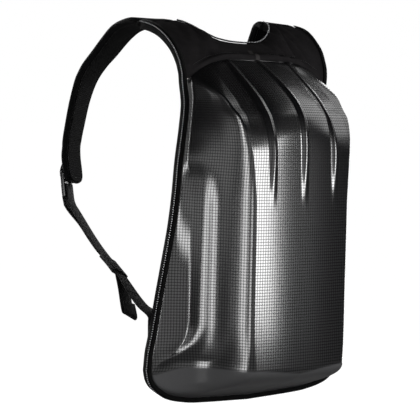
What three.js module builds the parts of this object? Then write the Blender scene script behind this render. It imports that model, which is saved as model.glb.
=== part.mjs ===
// Hard shell backpack: a moulded shell on a padded back panel, with a soft yoke, two padded
// shoulder straps and their adjusting webbing.
// Millimetres. X runs across the wearer's back, the shell faces -Y, the wearer stands at +Y and
// Z is up. Sections are written with Z measured from the hem and Y from the shell's rim; the
// whole part is then moved so that its origin is where the straps sit on the shoulders.
import * as THREE from 'three';

// Driving sizes of the body
const BODY_HEIGHT = 441;
const HALF_WIDTH = 166;
const SHELL_DEPTH = 102;
const SHELL_WALL = 3;
const CORNER_HEIGHT = 48;
const ARCH_HALF = 121;
const ARCH_DROP = 34;
const FLANGE_DEPTH = 4;
const FOLD_DEPTH = 22;
const FACE_HALF = 81;
const UNDERSIDE_SLOPE = 0.345;
const SKIRT_LEAST = 3;
const TOP_SLOPE = 1.9;
const CORNER_BLEND = 24;
const LOWER_BLEND = 16;
const TOP_BLEND = 6;
const RIB_HEIGHT = 4.5;
const RIB_HALF_WIDTH = 7;
const RIB_PITCH = 52;
const RIB_FADE_TOP = 0.75;
const RIB_FADE_END = 0.62;
const PANEL_THICKNESS = 10;
const PANEL_BEVEL = 3;

// Edge trim
const BINDING_WALL = 1.2;
const BINDING_SIDE = 7;
const BINDING_FRONT = 5;
const PIPING_RADIUS = 1.3;

// Yoke and straps
const PAD_THICKNESS = 10;
const CREST_HALF = 128;
const CREST_TILT = 6;
const NECK_HALF = 69;
const NECK_HEIGHT = 461;
const NECK_BACK = 24;
const ROLL_HEIGHT = 5;
const ROLL_WIDTH = 12;
const STRAP_WIDTH = 61;
const STRAP_FORWARD = 253;
const STRAP_TOP = 483;
const STRAP_DROP = 192;
const STRAP_OUT = 110;
const STRAP_TURN = 36;
const STRAP_EDGE_RADIUS = 4;
const WEBBING_WIDTH = 25;
const WEBBING_THICKNESS = 1.6;
const LOCK_LENGTH = 36;
const LOCK_WALL = 4;
const LOCK_THICKNESS = 4.6;
const LOCK_BAR = 4.5;
const LOCK_SLOT = 5;
const KEEPER_WALL = 1.2;
const TAIL_LOOP = 58;

// The soft yoke sits a little differently on the two shoulders: forward and height of the
// armhole's edge where the strap starts.
const LEFT_CREST = { forward: 79, height: 482 };
const RIGHT_CREST = { forward: 67, height: 486 };
const crestOf = (side) => (side < 0 ? LEFT_CREST : RIGHT_CREST);

// Clearances
const GAP = 0.35;
const SEAM_GAP = 0.8;
const CREST_GAP = 1.6;

// Height of the widest row and of the arch ends, above the hem
const ARCH_END = BODY_HEIGHT - ARCH_DROP;

// The body's edge: up is a share of BODY_HEIGHT, out a share of HALF_WIDTH.
const SIDE = [
  { up: 0.109, out: 1.0 },
  { up: 0.16, out: 0.988 },
  { up: 0.2, out: 0.964 },
  { up: 0.32, out: 0.904 },
  { up: 0.442, out: 0.84 },
  { up: 0.52, out: 0.801 },
  { up: 0.61, out: 0.771 },
  { up: 0.7, out: 0.752 },
  { up: 0.8, out: 0.718 },
  { up: 0.86, out: 0.705 },
  { up: 0.923, out: 0.729 },
];
// The hem: out is a share of HALF_WIDTH, up a share of CORNER_HEIGHT.
const HEM = [
  { out: 0, up: 0 },
  { out: 0.54, up: 0.07 },
  { out: 0.72, up: 0.16 },
  { out: 0.82, up: 0.26 },
  { out: 0.89, up: 0.4 },
  { out: 0.945, up: 0.55 },
  { out: 0.985, up: 0.77 },
  { out: 1, up: 1 },
];
// The arch under the yoke: out is a share of ARCH_HALF, down a share of ARCH_DROP.
const ARCH = [
  { out: 0, down: 0 },
  { out: 0.35, down: 0.01 },
  { out: 0.5, down: 0.05 },
  { out: 0.69, down: 0.26 },
  { out: 0.85, down: 0.57 },
  { out: 1, down: 1 },
];
// Sections of the shell by height, up as a share of BODY_HEIGHT. The foot is where the skirt
// ends and the wall rises: foot is a share of HALF_WIDTH, footDepth of FOLD_DEPTH. The face's
// corner is a share of FACE_HALF. flare and groove say how far the wall's profile goes over
// to the flared one at the bottom and to the grooved one at mid height.
const SECTIONS = [
  { up: 0.0, foot: 0.94, footDepth: 0.24, corner: 1, flare: 1, groove: 0 },
  { up: 0.115, foot: 0.93, footDepth: 0.26, corner: 1, flare: 1, groove: 0 },
  { up: 0.135, foot: 0.885, footDepth: 0.38, corner: 1, flare: 0.95, groove: 0.05 },
  { up: 0.161, foot: 0.8, footDepth: 0.64, corner: 1, flare: 0.6, groove: 0.4 },
  { up: 0.2, foot: 0.735, footDepth: 0.9, corner: 1, flare: 0.2, groove: 0.8 },
  { up: 0.25, foot: 0.71, footDepth: 1, corner: 1, flare: 0, groove: 1 },
  { up: 0.45, foot: 0.705, footDepth: 1, corner: 1, flare: 0, groove: 1 },
  { up: 0.58, foot: 0.699, footDepth: 1, corner: 1, flare: 0, groove: 1 },
  { up: 0.65, foot: 0.693, footDepth: 0.78, corner: 1.01, flare: 0, groove: 0.75 },
  { up: 0.71, foot: 0.69, footDepth: 0.36, corner: 1.02, flare: 0, groove: 0.2 },
  { up: 0.78, foot: 0.67, footDepth: 0.3, corner: 1.07, flare: 0, groove: 0 },
  { up: 0.875, foot: 0.65, footDepth: 0.28, corner: 1.13, flare: 0, groove: 0 },
  { up: 0.923, foot: 0.665, footDepth: 0.28, corner: 1.17, flare: 0, groove: 0 },
  { up: 1, foot: 0.665, footDepth: 0.28, corner: 1.17, flare: 0, groove: 0 },
];
// The wall from its foot (in 0) to the face's corner (in 1), depth as a share of that rise.
const WALL = [
  { in: 0, shoulder: 0, grooved: 0, flared: 0 },
  { in: 0.14, shoulder: 0.16, grooved: 0.185, flared: 0.03 },
  { in: 0.44, shoulder: 0.5, grooved: 0.385, flared: 0.17 },
  { in: 0.68, shoulder: 0.78, grooved: 0.66, flared: 0.38 },
  { in: 0.86, shoulder: 1, grooved: 0.9, flared: 0.74 },
  { in: 1, shoulder: 1.17, grooved: 1.08, flared: 1.06 },
];
// Depth of the middle of the face by height, as a share of SHELL_DEPTH; crown is how far the
// face falls away from its middle to its corners, as a share of the same.
const FACE = [
  { up: 0, depth: 1.035, crown: 0.05 },
  { up: 0.12, depth: 1.035, crown: 0.05 },
  { up: 0.3, depth: 1.02, crown: 0.05 },
  { up: 0.55, depth: 1.005, crown: 0.045 },
  { up: 0.64, depth: 0.995, crown: 0.045 },
  { up: 0.73, depth: 0.98, crown: 0.05 },
  { up: 0.78, depth: 0.965, crown: 0.08 },
  { up: 0.832, depth: 0.91, crown: 0.125 },
  { up: 0.868, depth: 0.815, crown: 0.185 },
  { up: 0.911, depth: 0.61, crown: 0.185 },
  { up: 0.955, depth: 0.34, crown: 0.15 },
  { up: 0.99, depth: 0.1, crown: 0.03 },
  { up: 1, depth: 0.04, crown: 0 },
];
// Share of the crown reached on the way from the middle to the corner.
const CROWN = [
  { out: 0, fall: 0 },
  { out: 0.33, fall: 0.25 },
  { out: 0.65, fall: 0.72 },
  { out: 1, fall: 1 },
];
// Armhole edge from the arch end to the shoulder's crest: forward is a share of the crest's
// forward, up of the rise from the arch end, out of the step from ARCH_HALF to CREST_HALF.
const ARMHOLE = [
  { forward: 0, up: 0, out: 0 },
  { forward: 0, up: 0.13, out: 0.15 },
  { forward: 0.03, up: 0.3, out: 0.35 },
  { forward: 0.1, up: 0.45, out: 0.45 },
  { forward: 0.2, up: 0.6, out: 0.6 },
  { forward: 0.38, up: 0.76, out: 0.7 },
  { forward: 0.57, up: 0.88, out: 0.85 },
  { forward: 0.79, up: 0.96, out: 1 },
  { forward: 1, up: 1, out: 1 },
];
// Neck edge from the middle to the crest: out is a share of NECK_HALF, up of the rise from
// NECK_HEIGHT to the crest, and forward of the step from NECK_BACK to the crest.
const NECK = [
  { out: 0, up: 0, forward: 0 },
  { out: 0.26, up: 0.02, forward: 0.04 },
  { out: 0.52, up: 0.14, forward: 0.18 },
  { out: 0.76, up: 0.43, forward: 0.36 },
  { out: 0.9, up: 0.7, forward: 0.54 },
  { out: 0.98, up: 0.9, forward: 0.77 },
  { out: 1, up: 1, forward: 1 },
];
// Centre lines of the shoulder straps: forward is a share of STRAP_FORWARD, down a share of
// STRAP_DROP below the crest, out of STRAP_OUT and turn of STRAP_TURN.
const LEFT_STRAP = [
  { forward: 0.41, down: -0.014, out: 0.91, turn: 0.16 },
  { forward: 0.495, down: 0.002, out: 0.925, turn: 0.36 },
  { forward: 0.563, down: 0.031, out: 0.936, turn: 0.55 },
  { forward: 0.634, down: 0.088, out: 0.945, turn: 0.66 },
  { forward: 0.74, down: 0.2, out: 0.959, turn: 0.72 },
  { forward: 0.828, down: 0.297, out: 0.968, turn: 0.8 },
  { forward: 0.892, down: 0.397, out: 0.973, turn: 0.88 },
  { forward: 0.94, down: 0.533, out: 0.982, turn: 0.94 },
  { forward: 0.975, down: 0.694, out: 0.99, turn: 0.97 },
  { forward: 0.998, down: 0.83, out: 0.996, turn: 1 },
  { forward: 1, down: 0.923, out: 1, turn: 1 },
  { forward: 0.982, down: 1.035, out: 1, turn: 1 },
];
const RIGHT_STRAP = [
  { forward: 0.355, down: 0.03, out: 0.905, turn: 0.05 },
  { forward: 0.385, down: 0.12, out: 0.91, turn: 0.12 },
  { forward: 0.43, down: 0.215, out: 0.92, turn: 0.25 },
  { forward: 0.495, down: 0.305, out: 0.935, turn: 0.45 },
  { forward: 0.593, down: 0.443, out: 0.955, turn: 0.66 },
  { forward: 0.68, down: 0.63, out: 0.97, turn: 0.8 },
  { forward: 0.735, down: 0.823, out: 0.985, turn: 0.9 },
  { forward: 0.763, down: 1.02, out: 0.993, turn: 0.97 },
  { forward: 0.767, down: 1.213, out: 1, turn: 1 },
  { forward: 0.751, down: 1.35, out: 1, turn: 1 },
];
// Webbing from the pack's back panel to the ladder lock: out is a share of HALF_WIDTH, forward
// of STRAP_FORWARD and up of the rise from the webbing's anchor to the lock, turn of the lock's.
const WEBBING_ANCHOR_UP = 0.2;
const LEFT_WEBBING = [
  { out: 0.905, forward: 0.12, up: 0.09, turn: 0.6 },
  { out: 0.865, forward: 0.36, up: 0.37, turn: 1 },
  { out: 0.828, forward: 0.56, up: 0.56, turn: 1 },
  { out: 0.765, forward: 0.76, up: 0.76, turn: 1 },
];
const RIGHT_WEBBING = [
  { out: 0.89, forward: 0.17, up: -0.22, turn: 0.5 },
  { out: 0.846, forward: 0.33, up: -0.52, turn: 0.9 },
  { out: 0.782, forward: 0.52, up: -0.46, turn: 1 },
  { out: 0.71, forward: 0.67, up: 0.05, turn: 1 },
];

const V = (x, y, z) => new THREE.Vector3(x, y, z);
const rad = THREE.MathUtils.degToRad;

// A smooth curve through one column of a table, which never overshoots its rows.
function column(rows, key, value) {
  const x = rows.map((row) => row[key]);
  const y = rows.map((row) => row[value]);
  const last = x.length - 1;
  const slope = x.slice(1).map((next, i) => (y[i + 1] - y[i]) / (next - x[i]));
  const tangent = x.map((_, i) => {
    if (i === 0) return slope[0];
    if (i === last) return slope[last - 1];
    const product = slope[i - 1] * slope[i];
    return product <= 0 ? 0 : (2 * product) / (slope[i - 1] + slope[i]);
  });
  return (at) => {
    if (at <= x[0]) return y[0];
    if (at >= x[last]) return y[last];
    let i = 0;
    while (at > x[i + 1]) i += 1;
    const span = x[i + 1] - x[i];
    const t = (at - x[i]) / span;
    const rest = 1 - t;
    return (1 + 2 * t) * rest * rest * y[i] + t * rest * rest * span * tangent[i]
      + t * t * (3 - 2 * t) * y[i + 1] - t * t * rest * span * tangent[i + 1];
  };
}

const mix = (a, b, t) => a + (b - a) * t;
const clamp = THREE.MathUtils.clamp;
const smooth = (from, to, at) => THREE.MathUtils.smoothstep(at, from, to);

// The smaller of two heights, with their meeting line rounded over the given reach.
function blendMin(a, b, reach) {
  const share = clamp(0.5 + (0.5 * (b - a)) / reach, 0, 1);
  return mix(b, a, share) - reach * share * (1 - share);
}

// Outline of the body

const sideOut = column(SIDE, 'up', 'out');
const hemUp = column(HEM, 'out', 'up');
const archDown = column(ARCH, 'out', 'down');
const halfWidth = (z) => HALF_WIDTH * sideOut(z / BODY_HEIGHT);
const hemHeight = (x, inset) => inset
  + (CORNER_HEIGHT - inset) * hemUp(Math.min(1, Math.abs(x) / (HALF_WIDTH - inset)));
const archHeight = (x) => BODY_HEIGHT - ARCH_DROP * archDown(Math.min(1, Math.abs(x) / ARCH_HALF));

// Depth of the shell

const FLANGE_WIDTH = BINDING_FRONT + 2 * GAP;

const footOut = column(SECTIONS, 'up', 'foot');
const footDepth = column(SECTIONS, 'up', 'footDepth');
const cornerOut = column(SECTIONS, 'up', 'corner');
const flareShare = column(SECTIONS, 'up', 'flare');
const grooveShare = column(SECTIONS, 'up', 'groove');
const shoulderWall = column(WALL, 'in', 'shoulder');
const groovedWall = column(WALL, 'in', 'grooved');
const flaredWall = column(WALL, 'in', 'flared');
const faceDepth = column(FACE, 'up', 'depth');
const faceCrown = column(FACE, 'up', 'crown');
const crownFall = column(CROWN, 'out', 'fall');

const flangeAt = (z) => halfWidth(z) - FLANGE_WIDTH;
const footAt = (z) => Math.min(HALF_WIDTH * footOut(z / BODY_HEIGHT), flangeAt(z) - SKIRT_LEAST);
const cornerAt = (z) => FACE_HALF * cornerOut(z / BODY_HEIGHT);

// Depth of the wall at a height and a distance in from its foot, without end: the face cuts it.
function wallDepth(x, z) {
  const up = z / BODY_HEIGHT;
  const start = FOLD_DEPTH * footDepth(up);
  const rise = SHELL_DEPTH - start;
  const inward = (footAt(z) - x) / (footAt(z) - cornerAt(z));
  const beyond = Math.max(0, inward - 1) * 2;
  const flare = flareShare(up);
  const groove = grooveShare(up);
  const share = flare * flaredWall(inward) + groove * groovedWall(inward)
    + (1 - flare - groove) * shoulderWall(inward);
  return start + rise * (share + beyond);
}

// Depth of the skirt, from the flat flange under the binding to the wall's foot.
function skirtDepth(x, z) {
  const flange = flangeAt(z);
  const share = clamp((flange - x) / (flange - footAt(z)), 0, 1);
  return mix(FLANGE_DEPTH, FOLD_DEPTH * footDepth(z / BODY_HEIGHT), share ** 1.2);
}

// Height of the three ribs over the face.
function ribHeight(x, z) {
  const up = z / BODY_HEIGHT;
  const fade = smooth(RIB_FADE_END, RIB_FADE_TOP, up);
  const nearest = clamp(Math.round(x / RIB_PITCH), -1, 1) * RIB_PITCH;
  const away = Math.abs(x - nearest) / RIB_HALF_WIDTH;
  return away < 1 ? RIB_HEIGHT * fade * Math.cos((away * Math.PI) / 2) ** 2 : 0;
}

// A blend's reach, which dies out on ground lower than the given depth.
const reachAt = (reach, depth, ground) => reach * clamp(depth / ground, 0.05, 1);

// Depth of the shell's outer face in front of the rim's plane.
function shellDepth(x, z) {
  const side = Math.abs(x);
  const up = z / BODY_HEIGHT;
  const fall = crownFall(side / FACE_HALF) * faceCrown(up);
  const face = SHELL_DEPTH * (faceDepth(up) - fall) + ribHeight(x, z);
  const foot = footAt(z);
  const wall = side > foot ? skirtDepth(side, z) : wallDepth(side, z);
  const under = FLANGE_DEPTH + (z - hemHeight(x, FLANGE_WIDTH)) / UNDERSIDE_SLOPE;
  const top = FLANGE_DEPTH + (archHeight(x) - z) * TOP_SLOPE;
  const front = blendMin(face, wall, reachAt(CORNER_BLEND, wall, 2 * FOLD_DEPTH));
  const body = blendMin(front, top, TOP_BLEND);
  const whole = blendMin(body, under, reachAt(LOWER_BLEND, under, SHELL_DEPTH / 2));
  return Math.max(FLANGE_DEPTH, whole);
}

// Meshes from rows of points

function signedVolume(points, triangles) {
  let sum = 0;
  for (const [a, b, c] of triangles) {
    sum += points[a].dot(points[b].clone().cross(points[c]));
  }
  return sum / 6;
}

function solid(points, triangles) {
  const outward = signedVolume(points, triangles) > 0;
  const index = triangles.flatMap(([a, b, c]) => (outward ? [a, b, c] : [a, c, b]));
  const geometry = new THREE.BufferGeometry();
  const flat = points.flatMap((point) => [point.x, point.y, point.z]);
  geometry.setAttribute('position', new THREE.Float32BufferAttribute(flat, 3));
  geometry.setIndex(index);
  geometry.computeVertexNormals();
  return geometry;
}

// A wall between two grids of the same size, closed round its edge.
function sheet(outer, inner) {
  const rows = outer.length;
  const columns = outer[0].length;
  const points = [...outer.flat(), ...inner.flat()];
  const at = (i, j) => i * columns + j;
  const back = rows * columns;
  const triangles = [];
  for (let i = 0; i + 1 < rows; i += 1) {
    for (let j = 0; j + 1 < columns; j += 1) {
      const [a, b, c, d] = [at(i, j), at(i, j + 1), at(i + 1, j + 1), at(i + 1, j)];
      triangles.push([a, b, c], [a, c, d]);
      triangles.push([a + back, c + back, b + back], [a + back, d + back, c + back]);
    }
  }
  const rim = [];
  for (let j = 0; j + 1 < columns; j += 1) rim.push([at(0, j), at(0, j + 1)]);
  for (let i = 0; i + 1 < rows; i += 1) rim.push([at(i, columns - 1), at(i + 1, columns - 1)]);
  for (let j = columns - 1; j > 0; j -= 1) rim.push([at(rows - 1, j), at(rows - 1, j - 1)]);
  for (let i = rows - 1; i > 0; i -= 1) rim.push([at(i, 0), at(i - 1, 0)]);
  for (const [a, b] of rim) triangles.push([a, a + back, b + back], [a, b + back, b]);
  return solid(points, triangles);
}

// A wall between two tubes of closed rings, open at both ends.
function sleeve(outer, inner) {
  const count = outer[0].length;
  const back = outer.length * count;
  const last = back - count;
  const triangles = [];
  const quad = (a, b, c, d) => triangles.push([a, b, c], [a, c, d]);
  for (let j = 0; j < count; j += 1) {
    const next = (j + 1) % count;
    for (let start = 0; start < last; start += count) {
      const [a, b, c, d] = [start + j, start + next, start + count + next, start + count + j];
      quad(a, b, c, d);
      quad(a + back, d + back, c + back, b + back);
    }
    quad(j, j + back, next + back, next);
    quad(last + j, last + next, last + next + back, last + j + back);
  }
  return solid([...outer.flat(), ...inner.flat()], triangles);
}

// A solid through closed sections, given as lists of points in the same order. A ring of
// sections that closes on itself has no ends.
function loft(sections, profile) {
  const count = sections[0].length;
  const points = sections.flat();
  const triangles = [];
  for (let i = 0; i + 1 < sections.length; i += 1) {
    for (let j = 0; j < count; j += 1) {
      const next = (j + 1) % count;
      const [a, b] = [i * count + j, i * count + next];
      const [c, d] = [(i + 1) * count + next, (i + 1) * count + j];
      triangles.push([a, b, c], [a, c, d]);
    }
  }
  const cap = THREE.ShapeUtils.triangulateShape(profile, []);
  const area = THREE.ShapeUtils.area(profile);
  const last = (sections.length - 1) * count;
  for (const [a, b, c] of cap) {
    const start = area > 0 ? [a, c, b] : [a, b, c];
    triangles.push(start, [start[0] + last, start[2] + last, start[1] + last]);
  }
  return solid(points, orient(triangles, cap.length));
}

// Turns the caps so that they agree with the sides.
function orient(triangles, caps) {
  const edges = new Set();
  const sides = triangles.slice(0, triangles.length - 2 * caps);
  const ends = triangles.slice(triangles.length - 2 * caps);
  for (const [a, b, c] of sides) [[a, b], [b, c], [c, a]].forEach((edge) => edges.add(edge.join()));
  const clash = ends.some(([a, b, c]) => [[a, b], [b, c], [c, a]].some((e) => edges.has(e.join())));
  return clash ? [...sides, ...ends.map(([a, b, c]) => [a, c, b])] : triangles;
}

// Normals of a grid of points, from its neighbours.
function gridNormals(grid, facing) {
  const rows = grid.length;
  const columns = grid[0].length;
  return grid.map((row, i) => row.map((_, j) => {
    const along = grid[Math.min(rows - 1, i + 1)][j].clone().sub(grid[Math.max(0, i - 1)][j]);
    const across = row[Math.min(columns - 1, j + 1)].clone().sub(row[Math.max(0, j - 1)]);
    const normal = along.cross(across).normalize();
    return normal.dot(facing) < 0 ? normal.negate() : normal;
  }));
}

// Hard shell

// Where the shell's columns stand: fixed ones over the ribbed middle, then shares of the way
// to the face's corner, down the wall to its foot, over the skirt and out to the rim.
const MIDDLE_COLUMNS = [0, 0.5, 1, 1.9]
  .map((ribs) => ribs * RIB_HALF_WIDTH)
  .concat([-1.7, -1, -0.5, 0, 0.5, 1, 1.7].map((ribs) => RIB_PITCH + ribs * RIB_HALF_WIDTH));
const CORNER_COLUMNS = [0.45, 0.8];
const WALL_COLUMNS = [0, 0.22, 0.45, 0.66, 0.86, 1];
const SKIRT_COLUMNS = [0.5];
const SHELL_ROWS = 27;
const ROW_EASING = 0.11;
const RIM_INSET = 2;

function shellColumns(z) {
  const middle = MIDDLE_COLUMNS[MIDDLE_COLUMNS.length - 1];
  const rim = halfWidth(z) - RIM_INSET;
  const flange = flangeAt(z);
  return [
    ...MIDDLE_COLUMNS,
    ...CORNER_COLUMNS.map((share) => mix(middle, cornerAt(z), share)),
    ...WALL_COLUMNS.map((share) => mix(cornerAt(z), footAt(z), share)),
    ...SKIRT_COLUMNS.map((share) => mix(footAt(z), flange, share)),
    flange,
    rim,
  ];
}

// A point of the shell's grid: each column runs from the rim at the hem over the flange's edge
// to the arch, with closer rows at both ends.
function shellPoint(columnIndex, row) {
  const low = shellColumns(CORNER_HEIGHT)[columnIndex];
  const high = shellColumns(ARCH_END)[columnIndex];
  const rim = hemHeight(low, RIM_INSET);
  const flange = Math.max(hemHeight(low, FLANGE_WIDTH), rim + RIM_INSET);
  const share = Math.max(0, row - 1) / (SHELL_ROWS - 1);
  const eased = share - ROW_EASING * Math.sin(2 * Math.PI * share);
  const z = row === 0 ? rim : mix(flange, archHeight(high) - SEAM_GAP, eased);
  const x = shellColumns(clamp(z, CORNER_HEIGHT, ARCH_END))[columnIndex];
  return [x, z];
}

function hardShell() {
  const outer = [];
  const count = shellColumns(ARCH_END).length;
  for (let row = 0; row <= SHELL_ROWS; row += 1) {
    const half = [];
    for (let j = 0; j < count; j += 1) {
      const [x, z] = shellPoint(j, row);
      half.push(V(x, -shellDepth(x, z), z));
    }
    const mirrored = half.slice(1).reverse().map((point) => V(-point.x, point.y, point.z));
    outer.push([...mirrored, ...half]);
  }
  const normals = gridNormals(outer, V(0, -1, 0));
  const inner = outer.map((row, i) => row.map((point, j) => {
    const edge = i === 0 || i === outer.length - 1 || j === 0 || j === row.length - 1;
    const inward = edge ? V(0, 1, 0) : normals[i][j].clone().negate();
    const moved = point.clone().addScaledVector(inward, SHELL_WALL);
    moved.y = Math.min(moved.y, SHELL_WALL - FLANGE_DEPTH);
    return moved;
  }));
  return sheet(outer, inner);
}

// Edge line of the pack: down from the left shoulder's crest, round the hem and up again.

const armholeForward = column(ARMHOLE, 'up', 'forward');
const armholeOut = column(ARMHOLE, 'up', 'out');
const EDGE_STEPS = { armhole: 12, side: 13, corner: 8, hem: 3 };
const CORNER_START = 0.54;

function armholePoint(up, side) {
  const crest = crestOf(side);
  return V(
    side * (ARCH_HALF + (CREST_HALF - ARCH_HALF) * armholeOut(up)),
    crest.forward * armholeForward(up),
    ARCH_END + (crest.height - ARCH_END) * up,
  );
}

// Points of one half of the body's edge, from the arch end to the middle of the hem.
function bodyEdge(inset) {
  const points = [];
  const half = HALF_WIDTH - inset;
  for (let i = 0; i < EDGE_STEPS.side; i += 1) {
    const z = mix(ARCH_END, CORNER_HEIGHT, i / EDGE_STEPS.side);
    points.push(V(halfWidth(z) - inset, 0, z));
  }
  for (let i = 0; i < EDGE_STEPS.corner; i += 1) {
    const turn = (i / EDGE_STEPS.corner) * (Math.PI / 2);
    const x = half * mix(CORNER_START, 1, Math.cos(turn));
    points.push(V(x, 0, hemHeight(x, inset)));
  }
  for (let i = 0; i <= EDGE_STEPS.hem; i += 1) {
    const x = half * CORNER_START * (1 - i / EDGE_STEPS.hem);
    points.push(V(x, 0, hemHeight(x, inset)));
  }
  return points;
}

function halfLine(side) {
  const armhole = Array.from({ length: EDGE_STEPS.armhole }, (_, i) => (
    armholePoint(1 - smooth(0, 1, i / EDGE_STEPS.armhole), side)
  ));
  return [...armhole, ...bodyEdge(0).map((point) => V(side * point.x, point.y, point.z))];
}

const edgeLine = () => [...halfLine(-1).slice(0, -1), ...halfLine(1).reverse()];

// A frame at a point of the edge: the way along it, into the pack, and out of its face.
function edgeFrame(before, point, after) {
  const along = after.clone().sub(before).normalize();
  const rises = Math.hypot(along.y, along.z);
  const climbs = Math.abs(along.y) > 0.02;
  const face = climbs ? V(0, -Math.abs(along.z), Math.abs(along.y)).divideScalar(rises) : V(0, -1, 0);
  const into = along.clone().cross(face).normalize();
  const middle = V(0, point.y, Math.max(point.z, BODY_HEIGHT / 2)).sub(point);
  if (into.dot(middle) < 0) into.negate();
  return { point, along, into, face };
}

function frames(line) {
  return line.map((point, i) => edgeFrame(
    line[Math.max(0, i - 1)], point, line[Math.min(line.length - 1, i + 1)],
  ));
}

const place = (frame, inset, out) => frame.point.clone()
  .addScaledVector(frame.into, inset)
  .addScaledVector(frame.face, out);

const FRONT = FLANGE_DEPTH + GAP + BINDING_WALL;

function edgeBinding() {
  const under = FLANGE_DEPTH + GAP;
  const profile = [
    [0, -BINDING_SIDE], [BINDING_WALL, -BINDING_SIDE], [BINDING_WALL, under],
    [BINDING_FRONT, under], [BINDING_FRONT, FRONT], [0, FRONT],
  ];
  const shape = profile.map(([inset, out]) => new THREE.Vector2(inset, out));
  const sections = frames(edgeLine()).map((frame) => profile.map(([q, d]) => place(frame, q, d)));
  return loft(sections, shape);
}

// A round cord along a line of frames, of few sides.
const CORD_SIDES = 6;

function cordAlong(list, inset, out, radius) {
  const sides = CORD_SIDES;
  const ring = Array.from({ length: sides }, (_, i) => {
    const turn = (i / sides) * 2 * Math.PI;
    return [inset + radius * Math.cos(turn), out + radius * Math.sin(turn)];
  });
  const shape = ring.map(([q, d]) => new THREE.Vector2(q, d));
  return loft(list.map((frame) => ring.map(([q, d]) => place(frame, q, d))), shape);
}

// The piping lies on the binding's outer side, level with the edge line.
function edgePiping() {
  return cordAlong(frames(edgeLine()), -GAP - PIPING_RADIUS, 0, PIPING_RADIUS);
}

// Back panel

function backPanel() {
  const inset = BINDING_WALL + GAP + PANEL_BEVEL;
  const edge = bodyEdge(inset).map((point) => new THREE.Vector2(point.x, point.z));
  edge[0].y = archHeight(edge[0].x) - inset;
  const steps = 7;
  const top = Array.from({ length: steps }, (_, i) => {
    const x = edge[0].x * (1 - (i + 1) / steps);
    return new THREE.Vector2(x, archHeight(x) - inset);
  });
  const right = [...edge.reverse(), ...top];
  const left = right.slice(1, -1).map((point) => new THREE.Vector2(-point.x, point.y)).reverse();
  const shape = new THREE.Shape([...right, ...left]);
  const geometry = new THREE.ExtrudeGeometry(shape, {
    depth: PANEL_THICKNESS - 2 * PANEL_BEVEL,
    bevelEnabled: true,
    bevelThickness: PANEL_BEVEL,
    bevelSize: PANEL_BEVEL,
    bevelSegments: 1,
  });
  geometry.rotateX(Math.PI / 2);
  const front = SHELL_WALL - FLANGE_DEPTH + GAP;
  geometry.translate(0, front + PANEL_THICKNESS - PANEL_BEVEL, 0);
  return geometry;
}

// Yoke

const neckUp = column(NECK, 'out', 'up');
const neckForward = column(NECK, 'out', 'forward');
const YOKE_COLUMNS = 12;
const YOKE_ROLL_ROWS = [0, 0.25, 0.5, 0.75, 1];
const YOKE_ROWS = 8;
const YOKE_STRIP = 12;
const YOKE_FACE = FLANGE_DEPTH - 2 * GAP;
const NECK_SHARE = 0.62;

function neckPoint(out, side) {
  const crest = crestOf(side);
  return V(
    side * NECK_HALF * out,
    mix(NECK_BACK, crest.forward, neckForward(out)),
    mix(NECK_HEIGHT, crest.height + CREST_TILT, neckUp(out)),
  );
}

// The armhole's frame at a height, for either side.
function armholeFrame(up, side) {
  const step = 0.01;
  const below = armholePoint(Math.max(0, up - step), side);
  const above = armholePoint(Math.min(1, up + step), side);
  return edgeFrame(below, armholePoint(up, side), above);
}

// The lateral side of the yoke, from the arch to the crest, moved into the yoke and out of it.
function lateral(share, side, inset, out) {
  const start = archHeight(ARCH_HALF - inset) + GAP - ARCH_END;
  const low = start / (crestOf(side).height - ARCH_END);
  return place(armholeFrame(mix(low, 1, share), side), inset, out);
}

// One point of a half of the yoke: across runs from the middle to the lateral strip, rise from
// the arch to the neck edge and the crest.
function yokePoint(across, rise, side) {
  const corner = lateral(0, side, YOKE_STRIP, YOKE_FACE);
  const crest = lateral(1, side, YOKE_STRIP, YOKE_FACE);
  const archX = corner.x * across;
  const arch = V(archX, -FLANGE_DEPTH, archHeight(archX) + GAP);
  const onCrest = Math.max(0, (across - NECK_SHARE) / (1 - NECK_SHARE));
  const top = across < NECK_SHARE
    ? neckPoint(across / NECK_SHARE, side)
    : neckPoint(1, side).lerp(crest, onCrest);
  const middleLow = V(0, -FLANGE_DEPTH, archHeight(0) + GAP);
  const middleHigh = neckPoint(0, side);
  const middle = middleLow.clone().lerp(middleHigh, rise);
  const edge = lateral(rise, side, YOKE_STRIP, YOKE_FACE);
  const ruled = arch.clone().lerp(top, rise);
  const crossed = middle.lerp(edge, across);
  const bilinear = middleLow.lerp(corner, across).lerp(middleHigh.lerp(crest, across), rise);
  return ruled.add(crossed).sub(bilinear);
}

// How far up a row of the yoke lies on a column: the first rows shape the rolled band.
function yokeRise(row, across, side) {
  const length = yokePoint(across, 0, side).distanceTo(yokePoint(across, 1, side));
  const roll = ROLL_WIDTH / Math.max(length, 2 * ROLL_WIDTH);
  const last = YOKE_ROLL_ROWS.length - 1;
  return row <= last ? YOKE_ROLL_ROWS[row] * roll : mix(roll, 1, (row - last) / YOKE_ROWS);
}

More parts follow.
